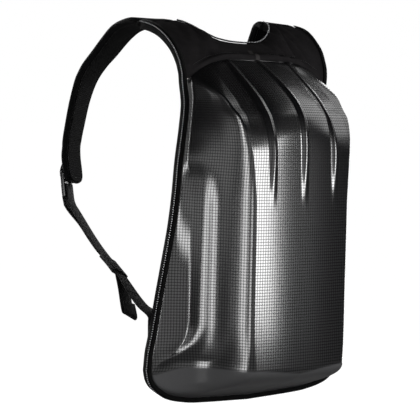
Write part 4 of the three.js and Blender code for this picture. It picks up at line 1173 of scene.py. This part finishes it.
def build_neck_piping():
    """The cord of bright dots along the neck's edge."""
    out = np.linspace(0, 1, 60) ** 0.8
    line = np.vstack([neck_points(out, -1)[:0:-1], neck_points(out, 1)])
    along = along_line(line)
    into = unit(np.cross(along, (0, -0.45, 0.89)))
    face = unit(np.cross(into, along))
    face = np.where(face[:, 2:] < 0, -face, face)
    raised = line + face * (PIPING_RADIUS + GAP)
    round_cord("neck_cord", raised, into, face, PIPING_RADIUS * 0.8, "neck_piping")
    bright_dots("neck_dots", raised + face * PIPING_RADIUS * 0.5, 0.62, 1.4)


# Yoke

YOKE_FACE = FLANGE_DEPTH - 2 * GAP
YOKE_STRIP = 0.012
SEAM_OVERLAP = 0.0014
NECK_SHARE = 0.62
YOKE_ROWS, YOKE_COLUMNS, ROLL_ROWS = 60, 70, 16


def lateral(share, side, inset, out):
    """The yoke's lateral edge, from the arch to the crest."""
    start = arch_height(ARCH_HALF - inset) + GAP - ARCH_END
    low = start / (CREST[side][1] - ARCH_END)
    point, _, into, face = armhole_frame(mix(low, 1, share), side)
    return point + into * inset + face * out


def yoke_grid(side):
    """The yoke's middle surface on one side, from the middle to the lateral strip."""
    across = np.linspace(0, 1, YOKE_COLUMNS)
    corner = lateral(0, side, YOKE_STRIP, YOKE_FACE)
    crest = lateral(1, side, YOKE_STRIP, YOKE_FACE)
    arch_x = corner[0] * across
    arch_z = arch_height(arch_x) - SEAM_OVERLAP
    low = np.stack([arch_x, np.full(YOKE_COLUMNS, -FLANGE_DEPTH), arch_z], axis=-1)
    neck = neck_points(np.minimum(1, across / NECK_SHARE), side)
    on_crest = np.clip((across - NECK_SHARE) / (1 - NECK_SHARE), 0, 1)[:, None]
    top = mix(neck_points(np.array([1.0]), side), crest, on_crest)
    high = np.where(across[:, None] < NECK_SHARE, neck, top)
    length = np.linalg.norm(high - low, axis=1)
    roll = ROLL_WIDTH / np.maximum(length, 2 * ROLL_WIDTH)
    band = np.linspace(0, 1, ROLL_ROWS)
    rest = np.linspace(0, 1, YOKE_ROWS - ROLL_ROWS + 1)[1:]
    rise = np.vstack([np.outer(band, roll), mix(roll, 1, rest[:, None])])
    edge = np.array([lateral(t, side, YOKE_STRIP, YOKE_FACE) for t in rise[:, -1]])
    grid = np.empty((YOKE_ROWS, YOKE_COLUMNS, 3))
    for i in range(YOKE_ROWS):
        t = rise[i][:, None]
        ruled = mix(low, high, t)
        side_point = np.stack([np.interp(rise[i], rise[:, -1], edge[:, k]) for k in range(3)], axis=-1)
        crossed = mix(mix(low[0], high[0], t), side_point, across[:, None])
        corners = mix(mix(low[0], corner, across[:, None]), mix(high[0], crest, across[:, None]), t)
        grid[i] = ruled + crossed - corners
    return grid, rise


def build_yoke():
    """The soft yoke with its rolled band, centre seam and slack folds."""
    fabric = bpy.context.scene.backpack_fabric
    left, _ = yoke_grid(-1)
    right, rise = yoke_grid(1)
    base = np.concatenate([left[:, :0:-1], right], axis=1)
    normals = grid_normals(base, (0, -1, 0.6))
    across = np.abs(np.linspace(-1, 1, base.shape[1]))
    row = np.arange(YOKE_ROWS)
    band = np.zeros(YOKE_ROWS)
    band[:ROLL_ROWS] = np.sin(math.pi * np.linspace(0, 1, ROLL_ROWS)) ** 0.7
    lift = fabric.roll_height * np.outer(band, 1 - smooth(0.6, 1, across))
    lift += folds(base, fabric.fold_depth) * np.clip(smooth(0.0, 0.3, 1 - across), 0, 1)
    seam = np.exp(-((base[..., 0] / 0.0016) ** 2)) * 0.0012
    lift += seam * (row < ROLL_ROWS)[:, None]
    outer = base + normals * lift[..., None]
    level = smooth(0, ROLL_ROWS, row)[:, None, None]
    inner = base + unit(mix(np.array([0, 1, 0.2]), -normals, level)) * PAD_THICKNESS
    outer = with_strips(outer, rise, YOKE_FACE)
    inner = with_strips(inner, rise, YOKE_FACE - PAD_THICKNESS)
    points, faces = wall_between(outer, inner)
    piece = make_object("soft_yoke", points, faces, material_of("neoprene cloth"))
    finish_piece(piece, "neoprene", "yoke")
    lines = [outer[ROLL_ROWS + 1, 6:-6] + (0, -0.0003, 0.0003)]
    stitches = repeat_along("yoke_stitches", lines, 0.003, 0.0022, 0.0007, 0.0005, material_of("thread"))
    finish_piece(stitches, "neoprene")


def with_strips(grid, rise, out):
    """The yoke's grid with its narrow strips under the binding on both sides."""
    strips = []
    for side in SIDES:
        strips.append(np.array([
            [lateral(t, side, inset, out) for inset in (BINDING_FRONT, BINDING_WALL + 2 * GAP)]
            for t in rise[:, -1]
        ]))
    return np.concatenate([strips[0][:, ::-1], grid, strips[1]], axis=1)


def folds(grid, depth):
    """Slack folds in the yoke: long waves that run up from the rolled band to the shoulders."""
    x, z = grid[..., 0], grid[..., 2]
    right = smooth(0.01, 0.05, x) * (1 - smooth(0.08, 0.115, x))
    left = smooth(0.03, 0.07, -x) * (1 - smooth(0.09, 0.115, -x))
    rise = smooth(0.425, 0.45, z)
    waves = np.sin(340 * x + 150 * z) * right + 0.6 * np.sin(260 * x - 190 * z) * left
    slow = np.sin(95 * x + 2.1) * np.cos(120 * z - 0.4)
    return depth * rise * (waves * 0.6 + 0.5 * slow)


# Straps

def stations(points, widths, count):
    """Frames evenly along a band: point, along, wide and out."""
    at = evenly(points, count)
    spots = spline(points, at)
    along = along_line(spots)
    wide = spline(widths, at)
    wide = unit(wide - along * np.sum(wide * along, axis=1, keepdims=True))
    return {"point": spots, "along": along, "wide": wide, "out": unit(np.cross(along, wide))}


def strap_stations(side, count):
    """A shoulder strap's frames, from the crest to its rounded end."""
    rows = STRAPS[side]
    point, along, into, face = armhole_frame(1.0, side)
    outer = point + into * (BINDING_WALL + GAP) + face * FLANGE_DEPTH
    inner = neck_points(np.array([1.0]), side)[0]
    wide = unit(inner - outer)
    leaves = along if along[1] > 0 else -along
    thick = unit(np.cross(wide, leaves))
    thick = -thick if thick[2] > 0 else thick
    start = mix(outer, inner, 0.5) + thick * PAD_THICKNESS / 2 + leaves * CREST_GAP
    centre = np.vstack([start, start + leaves * PAD_THICKNESS, np.stack([
        side * STRAP_OUT * rows["out"],
        STRAP_FORWARD * rows["forward"],
        STRAP_TOP - STRAP_DROP * rows["down"],
    ], axis=-1)])
    turn = np.radians(STRAP_TURN * rows["turn"])
    across = wide if wide[0] > 0 else -wide
    turned = np.stack([np.cos(turn), -side * np.sin(turn), 0 * turn], axis=-1)
    widths = np.vstack([across, across, turned])
    body = stations(centre, widths, count)
    body["share"] = np.ones(count)
    reach = np.linspace(0, 1, 14)[1:]
    last = {key: body[key][-1] for key in ("point", "along", "wide", "out")}
    tip = {key: np.repeat(last[key][None], len(reach), axis=0) for key in ("along", "wide", "out")}
    tip["point"] = last["point"] + np.outer(reach * STRAP_WIDTH / 4, last["along"])
    tip["share"] = mix(1, 0.35, 1 - np.sqrt(1 - reach**2.2 * 0.999))
    return {key: np.concatenate([body[key], tip[key]]) for key in body}


def strap_section(edge):
    """A padded strap's section: full in the middle and thinner at the sewn edges."""
    w = np.linspace(-1, 1, 25)
    half = mix(edge, PAD_THICKNESS / 2, np.clip((1 - np.abs(w)) / 0.2, 0, 1) ** 0.5)
    top = np.stack([w, half], axis=-1)
    return np.vstack([top, (top * (1, -1))[::-1]])


def lock_frame(strap, body_count):
    """The ladder lock's frame, on the outer side of the strap's end."""
    i = body_count - 1
    out = strap["out"][i] if strap["out"][i][1] > 0 else -strap["out"][i]
    down = strap["along"][i]
    stand = PAD_THICKNESS / 2 + LOCK_THICKNESS / 2 + WEBBING_THICKNESS + 4 * GAP
    return {
        "centre": strap["point"][i] + out * stand + down * LOCK_LENGTH / 2,
        "down": down, "outer": out, "wide": strap["wide"][i],
    }


def in_lock(lock, wide, down, out):
    return lock["centre"] + lock["wide"] * wide + lock["down"] * down + lock["outer"] * out


LOCK_STAND = LOCK_THICKNESS / 2 + GAP + WEBBING_THICKNESS / 2
SLOT_STARTS = [-LOCK_LENGTH / 2 + LOCK_BAR + i * (LOCK_SLOT + LOCK_BAR) for i in range(3)]
STRAP_STATIONS = 110
STRAP_EDGE = 0.0032


def strap_edge_tape(strap):
    """Sections of the tape folded round the strap's two edges and its end."""
    half = STRAP_WIDTH / 2 * strap["share"][:, None]
    left = strap["point"] - strap["wide"] * half
    right = strap["point"] + strap["wide"] * half
    tip = [mix(left[-1], right[-1], t) for t in np.linspace(0, 1, 8)[1:-1]]
    line = np.vstack([left, tip, right[::-1]])
    out = np.vstack([strap["out"], np.repeat(strap["out"][-1:], len(tip), axis=0), strap["out"][::-1]])
    along = along_line(line)
    away = unit(np.cross(along, out))
    middle = strap["point"].mean(axis=0)
    if np.sum(away * (line - middle)) < 0:
        away = -away
    over = STRAP_EDGE + 0.0004
    reach = 0.0065
    shape = [
        (-reach, over + 0.001), (-reach * 0.45, over + 0.0007), (0.0, over * 0.8), (0.0009, over * 0.4),
        (0.0012, 0), (0.0009, -over * 0.4), (0, -over * 0.8), (-reach * 0.45, -over - 0.0007),
        (-reach, -over - 0.001), (-reach, -over + 0.0002), (-0.0015, -over * 0.6), (-0.0003, 0),
        (-0.0015, over * 0.6), (-reach, over - 0.0002),
    ]
    return np.stack([line + away * q + out * d for q, d in shape], axis=1), line, away, out


def build_strap(side):
    """One padded shoulder strap with its folded tape and stitches."""
    name = SIDES[side]
    strap = strap_stations(side, STRAP_STATIONS)
    shape = strap_section(STRAP_EDGE)
    across = shape[:, 0] * (STRAP_WIDTH / 2 - 0.0006)
    sections = (
        strap["point"][:, None]
        + strap["wide"][:, None] * (across[None, :, None] * strap["share"][:, None, None])
        + strap["out"][:, None] * shape[None, :, 1, None]
    )
    points, faces = tube(sections)
    rows, count = sections.shape[:2]
    along = np.concatenate([[0], np.linalg.norm(np.diff(strap["point"], axis=0), axis=1).cumsum()])
    uv = np.stack([np.tile(across, rows), np.repeat(along, count)], axis=-1)
    piece = make_object(f"{name}_padded_strap", points, faces, material_of("air mesh"), uv)
    finish_piece(piece, "padding", f"{name}_shoulder_strap")
    sections, line, away, out = strap_edge_tape(strap)
    tube_piece(f"{name}_strap_tape", sections, "binding tape", "binding")
    height = STRAP_EDGE + 0.0016
    lines = [line - away * 0.0055 + out * turn * height for turn in (1, -1)]
    stitches = repeat_along(
        f"{name}_strap_stitches", lines, 0.0034, 0.0025, 0.0007, 0.0007, material_of("thread"),
    )
    finish_piece(stitches, "binding")
    return strap


# Webbing and locks

def ribbon_sections(points, wide):
    """Sections of the webbing, with soft edges, along its points."""
    along = along_line(points)
    wide = unit(wide - along * np.sum(wide * along, axis=1, keepdims=True))
    shape = rounded(WEBBING_WIDTH, WEBBING_THICKNESS, WEBBING_THICKNESS * 0.45)
    return swept(points, wide, unit(np.cross(along, wide)), shape)


def webbing_route(side, lock):
    """The main run of the webbing, from the back panel to the lock's middle bar."""
    rows = WEBBINGS[side]
    anchor = BODY_HEIGHT * WEBBING_ANCHOR_UP
    rest = PANEL_FRONT + PANEL_THICKNESS + 2 * GAP + WEBBING_THICKNESS / 2
    x = half_width(anchor) - BINDING_WALL - 0.003 - WEBBING_WIDTH / 2
    entry = in_lock(lock, 0, LOCK_LENGTH / 2 + 0.6 * LOCK_WALL, -LOCK_STAND - GAP)
    lead = in_lock(lock, 0, LOCK_LENGTH / 2 + 1.6 * LOCK_WALL, -LOCK_STAND - 3 * GAP)
    low = anchor + WEBBING_WIDTH
    points = [
        (side * x, rest, anchor),
        (side * x, rest + GAP, anchor + WEBBING_WIDTH / 2),
        (side * x, rest + WEBBING_THICKNESS, low),
    ]
    flat = np.array([1.0, 0, 0])
    widths = [flat, flat, flat]
    for out, forward, up, turn in zip(rows["out"], rows["forward"], rows["up"], rows["turn"]):
        points.append((side * HALF_WIDTH * out, STRAP_FORWARD * forward, mix(low, entry[2], up)))
        widths.append(unit(mix(flat, lock["wide"], turn)))
    points += [lead, entry, in_lock(lock, 0, LOCK_LENGTH / 4, -LOCK_STAND), in_lock(lock, 0, 0, -LOCK_STAND)]
    widths += [lock["wide"]] * 4
    return np.array(points), np.array(widths)


KEEPER_FROM = 0.345
TAIL_DROP = 0.35
WEBBING_STEPS = 89
TAIL = table(
    "reach away",
    (0.15, 0.0009), (0.3, 0.002), (0.45, 0.0034), (0.6, 0.005), (0.75, 0.0066), (0.88, 0.0078), (0.97, 0.008),
    (1.02, 0.0068), (1.02, 0.005), (0.97, 0.0036), (0.88, 0.0026), (0.7, 0.0014),
)


def build_webbing(side, lock):
    """The webbing with its tail, the keeper and the short loop that holds the lock."""
    name = SIDES[side]
    main = stations(*webbing_route(side, lock), WEBBING_STEPS)
    if np.dot(main["out"][-1], lock["outer"]) < 0:
        main["out"] = -main["out"]
    slot = SLOT_STARTS[1] + LOCK_SLOT / 2
    wrap = np.array([
        in_lock(lock, 0, down, out) for down, out in (
            (slot + 0.0012, -LOCK_STAND), (slot + 0.0003, -LOCK_STAND * 0.8), (slot, -LOCK_STAND * 0.4),
            (slot, LOCK_STAND * 0.4), (slot + 0.0003, LOCK_STAND * 0.8), (slot + 0.0012, LOCK_STAND),
            (0, LOCK_STAND), (LOCK_LENGTH / 2, LOCK_STAND))
    ])
    first = round(KEEPER_FROM * (WEBBING_STEPS - 1))
    back = np.arange(WEBBING_STEPS - 9, first - 1, -1)
    beside = smooth(0, 0.4, np.linspace(0, 1, len(back)))
    spread = mix(2 * LOCK_STAND, WEBBING_THICKNESS + GAP, beside)
    tail = main["point"][back] + main["out"][back] * spread[:, None]
    down = unit(mix(-main["along"][first], np.array([0, 0, -1.0]), TAIL_DROP))
    loop = tail[-1] + np.outer(TAIL["reach"] * TAIL_LOOP, down) + np.outer(TAIL["away"], main["out"][first])
    loop = spline(np.vstack([tail[-1:], loop]), np.linspace(0, 1, 45))[1:]
    path = np.vstack([main["point"][:-1], wrap, tail, loop])
    wide = np.vstack([
        main["wide"][:-1], np.tile(lock["wide"], (len(wrap), 1)), main["wide"][back],
        np.tile(main["wide"][first], (len(loop), 1)),
    ])
    sections = ribbon_sections(path, wide)
    tube_piece(f"{name}_ribbed_webbing", sections, "webbing tape", "webbing", f"{name}_webbing")
    build_keeper(name, main, first)
    build_anchor(name, lock)


def build_keeper(name, main, first):
    """The elastic sleeve that holds the tail to the webbing."""
    chosen = slice(first + 2, first + 13)
    point, wide, out = (main[key][chosen] for key in ("point", "wide", "out"))
    centre = point + out * (WEBBING_THICKNESS + GAP) / 2
    outer, inner = (
        swept(centre, wide, out, rounded(
            WEBBING_WIDTH + 2 * (GAP + wall), 2 * WEBBING_THICKNESS + 3 * GAP + 2 * wall, 0.0006 + wall / 2))
        for wall in (KEEPER_WALL, 0.0001)
    )
    sections = np.concatenate([outer, inner[::-1]])
    tube_piece(f"{name}_elastic_keeper", sections, "webbing tape", "webbing", f"{name}_keeper", closed=True)


def build_anchor(name, lock):
    """The short loop from the strap's end through the lock's upper slot."""
    slot = SLOT_STARTS[0] + LOCK_SLOT / 2
    end = -LOCK_LENGTH / 2
    top, over = end - 0.016, -LOCK_STAND + 0.0021
    route = (
        (top, -LOCK_STAND), (end - 0.008, -LOCK_STAND), (end, -LOCK_STAND), (slot - 0.0012, -LOCK_STAND),
        (slot - 0.0003, -LOCK_STAND * 0.8), (slot, -LOCK_STAND * 0.4), (slot, LOCK_STAND * 0.4),
        (slot - 0.0003, LOCK_STAND * 0.8), (slot - 0.0012, LOCK_STAND), (end, LOCK_STAND),
        (end - 0.006, LOCK_STAND * 0.4), (end - 0.011, over), (top, over),
    )
    path = np.array([in_lock(lock, 0, down, out) for down, out in route])
    sections = ribbon_sections(path, np.tile(lock["wide"], (len(path), 1)))
    tube_piece(f"{name}_anchor_loop", sections, "webbing tape", "webbing", f"{name}_lock_anchor")


def build_lock(name):
    """The moulded ladder lock: the construction's own shape with rounded edges."""
    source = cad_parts[f"{name}_ladder_lock"]
    mesh = source.data.copy()
    work = bmesh.new()
    work.from_mesh(mesh)
    bmesh.ops.remove_doubles(work, verts=work.verts, dist=1e-6)
    bmesh.ops.dissolve_limit(work, angle_limit=math.radians(1), verts=work.verts, edges=work.edges)
    work.to_mesh(mesh)
    work.free()
    mesh.materials.clear()
    mesh.materials.append(material_of("moulded plastic"))
    mesh.transform(source.matrix_world)
    piece = add_object(f"{name}_moulded_lock", mesh)
    bevel = piece.modifiers.new("rounding", "BEVEL")
    bevel.width = LOCK_ROUNDING
    bevel.segments = 3
    bevel.limit_method = "ANGLE"
    settle(piece)
    piece.data.polygons.foreach_set("use_smooth", [True] * len(piece.data.polygons))
    finish_piece(piece, "plastic", f"{name}_ladder_lock")


# Stage

LIGHT_AIM = (-0.02, -0.14, -0.23)
# Degrees from the pack's face, then metres, metres and watts
SOFT_BOXES = table(
    "azimuth elevation distance width height power",
    (18, 2, 0.62, 0.26, 0.44, 3.3),
    (-75, 0, 1.8, 0.6, 1.5, 15),
    (-105, 1, 0.7, 0.2, 0.24, 0.12),
    (-25, 4, 2.9, 3.2, 1.5, 8),
    (80, 36, 2.0, 1.4, 1.2, 8),
    (118, 2, 2.0, 0.6, 1.8, 16),
    (175, 15, 2.2, 1.6, 1.6, 60),
)


def direction(azimuth, elevation):
    """The way from the pack towards an azimuth and elevation in degrees."""
    a, e = math.radians(azimuth), math.radians(elevation)
    return Vector((math.sin(a) * math.cos(e), -math.cos(a) * math.cos(e), math.sin(e)))


def soft_box(name, azimuth, elevation, distance, width, height, power):
    """A rectangular light that looks at the pack from a direction."""
    back = direction(azimuth, elevation)
    light = bpy.data.lights.new(name, "AREA")
    light.shape = "RECTANGLE"
    light.size, light.size_y = width, height
    light.energy = power
    lamp = add_object(name, light)
    lamp.location = Vector(LIGHT_AIM) + back * distance
    lamp.visible_camera = False
    lamp.rotation_mode = "QUATERNION"
    lamp.rotation_quaternion = (-back).to_track_quat("-Z", "Y")


def build_world():
    """A surround that looks white but gives little light, so that the pack stays black."""
    settings = bpy.context.scene.backpack_stage
    world = bpy.data.worlds.new("studio")
    world.use_nodes = True
    graph = Graph(world.node_tree)
    background = world.node_tree.nodes["Background"]
    rays = graph.add("ShaderNodeLightPath")
    strength = graph.math("MAXIMUM", rays.outputs["Is Camera Ray"], settings.surround)
    background.inputs["Color"].default_value = (1, 1, 1, 1)
    graph.feed(background.inputs["Strength"], strength)
    bpy.context.scene.world = world


FLOOR_RADIUS = 40
FLOOR_SIDES = 96


def build_floor():
    """A plain pale floor well under the pack, which hangs as it is worn."""
    settings = bpy.context.scene.backpack_stage
    z = -REST_HEIGHT - settings.floor_drop
    turn = np.linspace(0, 2 * math.pi, FLOOR_SIDES, endpoint=False)
    ring = np.stack([np.cos(turn), np.sin(turn), 0 * turn], axis=-1) * FLOOR_RADIUS + (0, 0, z) - ORIGIN
    material = bpy.data.materials.new("pale floor")
    material.use_nodes = True
    graph = Graph(material.node_tree)
    shader = material.node_tree.nodes["Principled BSDF"]
    spot = graph.add("ShaderNodeTexCoord").outputs["Object"]
    grain = graph.noise(spot, 3.0, 3.0, 0.5)
    seen = graph.add("ShaderNodeLightPath").outputs["Is Camera Ray"]
    graph.feed_all(shader, {
        "Base Color": graph.blend(grain, (0.1, 0.1, 0.1, 1), (0.12, 0.12, 0.12, 1)),
        "Roughness": 0.9,
        "Emission Color": (1, 1, 1, 1),
        "Emission Strength": graph.math("MAXIMUM", seen, 4 * settings.surround),
    })
    floor = make_object("floor", ring, [list(range(FLOOR_SIDES))], material, smooth_faces=False, recalc=False)


CAMERA_AZIMUTH = -39.58
CAMERA_ELEVATION = 3.66
CAMERA_ROLL = 1.62
CAMERA_DISTANCE = 2.25
CAMERA_AIM = (-0.0315, -0.0269, -0.2348)
CAMERA_LENS = 147.4


def build_camera():
    """The camera at the photograph's angle."""
    a, r = math.radians(CAMERA_AZIMUTH), math.radians(CAMERA_ROLL)
    back = direction(CAMERA_AZIMUTH, CAMERA_ELEVATION)
    level = Vector((math.cos(a), math.sin(a), 0))
    right = level * math.cos(r) + back.cross(level) * math.sin(r)
    data = bpy.data.cameras.new("camera")
    data.lens = CAMERA_LENS
    data.sensor_width = 36
    data.sensor_fit = "HORIZONTAL"
    data.clip_end = 200
    camera = add_object("camera", data)
    turn = Matrix((right, back.cross(right), back)).transposed().to_4x4()
    camera.matrix_world = Matrix.Translation(Vector(CAMERA_AIM) + back * CAMERA_DISTANCE) @ turn
    bpy.context.scene.camera = camera


# Settings

class ShellSettings(bpy.types.PropertyGroup):
    """What a user may change on the shell."""

    colour: bpy.props.FloatVectorProperty(
        name="Colour", description="Colour of the shell's plastic", size=4, subtype="COLOR", min=0, max=1,
        default=(0.0016, 0.0016, 0.0019, 1))
    roughness: bpy.props.FloatProperty(
        name="Roughness", description="Roughness between the dots", default=0.42, min=0, max=1, subtype="FACTOR")
    gloss: bpy.props.FloatProperty(
        name="Gloss Roughness", description="Roughness of the dots' tops", default=0.24, min=0, max=1,
        subtype="FACTOR")
    # The underside's grey is a painted reflection of the floor, not a colour of the plastic.
    underside: bpy.props.FloatVectorProperty(
        name="Underside", description="Colour of the smooth underside", size=4, subtype="COLOR", min=0, max=1,
        default=(0.075, 0.075, 0.077, 1))
    dot_pitch: bpy.props.FloatProperty(
        name="Dot Pitch", description="Distance from dot to dot", default=0.0037, min=0.001, unit="LENGTH")
    dot_height: bpy.props.FloatProperty(
        name="Dot Height", description="Height of the embossed dots", default=0.0002, min=0, unit="LENGTH")
    rib_height: bpy.props.FloatProperty(
        name="Rib Height", description="Height of the three ribs", default=0.004, min=0, unit="LENGTH")


class FabricSettings(bpy.types.PropertyGroup):
    """What a user may change on the padded pieces."""

    neoprene: bpy.props.FloatVectorProperty(
        name="Neoprene", description="Colour of the yoke", size=4, subtype="COLOR", min=0, max=1,
        default=(0.011, 0.0103, 0.0108, 1))
    mesh: bpy.props.FloatVectorProperty(
        name="Mesh", description="Colour of the air mesh", size=4, subtype="COLOR", min=0, max=1,
        default=(0.0045, 0.0045, 0.0048, 1))
    mesh_pitch: bpy.props.FloatProperty(
        name="Mesh Pitch", description="Size of the mesh's cells", default=0.0036, min=0.0005, unit="LENGTH")
    roll_height: bpy.props.FloatProperty(
        name="Roll Height", description="Height of the rolled band along the arch", default=0.005, min=0,
        unit="LENGTH")
    fold_depth: bpy.props.FloatProperty(
        name="Fold Depth", description="Depth of the yoke's slack folds", default=0.0026, min=0, unit="LENGTH")
    channel_depth: bpy.props.FloatProperty(
        name="Channel Depth", description="Depth of the back panel's sewn channels", default=0.004, min=0,
        unit="LENGTH")


class TrimSettings(bpy.types.PropertyGroup):
    """What a user may change on the edges, webbing and thread."""

    binding: bpy.props.FloatVectorProperty(
        name="Binding", description="Colour of the folded tape", size=4, subtype="COLOR", min=0, max=1,
        default=(0.0022, 0.0022, 0.0024, 1))
    webbing: bpy.props.FloatVectorProperty(
        name="Webbing", description="Colour of the webbing", size=4, subtype="COLOR", min=0, max=1,
        default=(0.013, 0.013, 0.0135, 1))
    thread: bpy.props.FloatVectorProperty(
        name="Thread", description="Colour of the stitches", size=4, subtype="COLOR", min=0, max=1,
        default=(0.01, 0.01, 0.0105, 1))
    piping: bpy.props.FloatVectorProperty(
        name="Piping", description="Colour of the piping's dots", size=4, subtype="COLOR", min=0, max=1,
        default=(0.78, 0.79, 0.81, 1))
    dot_spacing: bpy.props.FloatProperty(
        name="Dot Spacing", description="Distance between the piping's dots", default=0.0029, min=0.001,
        unit="LENGTH")


class StageSettings(bpy.types.PropertyGroup):
    """What a user may change on the stage."""

    floor_drop: bpy.props.FloatProperty(
        name="Floor Drop", description="How far the floor lies under the hem", default=0.3, min=0, unit="LENGTH")
    surround: bpy.props.FloatProperty(
        name="Surround", description="Light that the white surround and the floor give the pack", default=0.012,
        min=0)


# Operators

class BACKPACK_OT_shell(bpy.types.Operator):
    """Build the moulded shell"""

    bl_idname = "backpack.shell"
    bl_label = "Shell"

    def execute(self, context):
        build_shell()
        return {"FINISHED"}


class BACKPACK_OT_back_panel(bpy.types.Operator):
    """Build the padded back panel"""

    bl_idname = "backpack.back_panel"
    bl_label = "Back Panel"

    def execute(self, context):
        build_back_panel()
        return {"FINISHED"}


class BACKPACK_OT_edge_trim(bpy.types.Operator):
    """Build the folded binding and the piping"""

    bl_idname = "backpack.edge_trim"
    bl_label = "Edge Trim"

    def execute(self, context):
        build_trim()
        return {"FINISHED"}


class BACKPACK_OT_yoke(bpy.types.Operator):
    """Build the soft yoke"""

    bl_idname = "backpack.yoke"
    bl_label = "Yoke"

    def execute(self, context):
        build_yoke()
        return {"FINISHED"}


class BACKPACK_OT_straps(bpy.types.Operator):
    """Build both shoulder straps with their locks and webbing"""

    bl_idname = "backpack.straps"
    bl_label = "Straps and Webbing"

    def execute(self, context):
        for side, name in SIDES.items():
            lock = lock_frame(build_strap(side), STRAP_STATIONS)
            build_lock(name)
            build_webbing(side, lock)
        return {"FINISHED"}


class BACKPACK_OT_stage(bpy.types.Operator):
    """Build the floor, the soft studio light and the camera"""

    bl_idname = "backpack.stage"
    bl_label = "Stage"

    def execute(self, context):
        context.scene.view_settings.view_transform = "Standard"
        build_camera()
        build_world()
        build_floor()
        for i, values in enumerate(zip(*SOFT_BOXES.values())):
            soft_box(f"soft_box_{i}", *(float(v) for v in values))
        return {"FINISHED"}


class BACKPACK_PT_parts(bpy.types.Panel):
    """Lists the pack's pieces and the stage"""

    bl_label = "Hard Shell Backpack"
    bl_idname = "BACKPACK_PT_parts"
    bl_space_type = "VIEW_3D"
    bl_region_type = "UI"
    bl_category = "Backpack"

    def draw(self, context):
        for operator in OPERATORS:
            self.layout.operator(operator.bl_idname)


SETTINGS = {
    "backpack_shell": ShellSettings,
    "backpack_fabric": FabricSettings,
    "backpack_trim": TrimSettings,
    "backpack_stage": StageSettings,
}
OPERATORS = (
    BACKPACK_OT_stage,
    BACKPACK_OT_shell,
    BACKPACK_OT_back_panel,
    BACKPACK_OT_edge_trim,
    BACKPACK_OT_yoke,
    BACKPACK_OT_straps,
)


def register():
    for kind in (*SETTINGS.values(), *OPERATORS, BACKPACK_PT_parts):
        bpy.utils.register_class(kind)
    for name, kind in SETTINGS.items():
        setattr(bpy.types.Scene, name, bpy.props.PointerProperty(type=kind))


def unregister():
    for name in SETTINGS:
        delattr(bpy.types.Scene, name)
    for kind in reversed((*SETTINGS.values(), *OPERATORS, BACKPACK_PT_parts)):
        bpy.utils.unregister_class(kind)


def main():
    """Builds the whole pack and the stage."""
    register()
    for operator in OPERATORS:
        group, name = operator.bl_idname.split(".")
        getattr(getattr(bpy.ops, group), name)()
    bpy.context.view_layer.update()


if __name__ == "__main__":
    main()
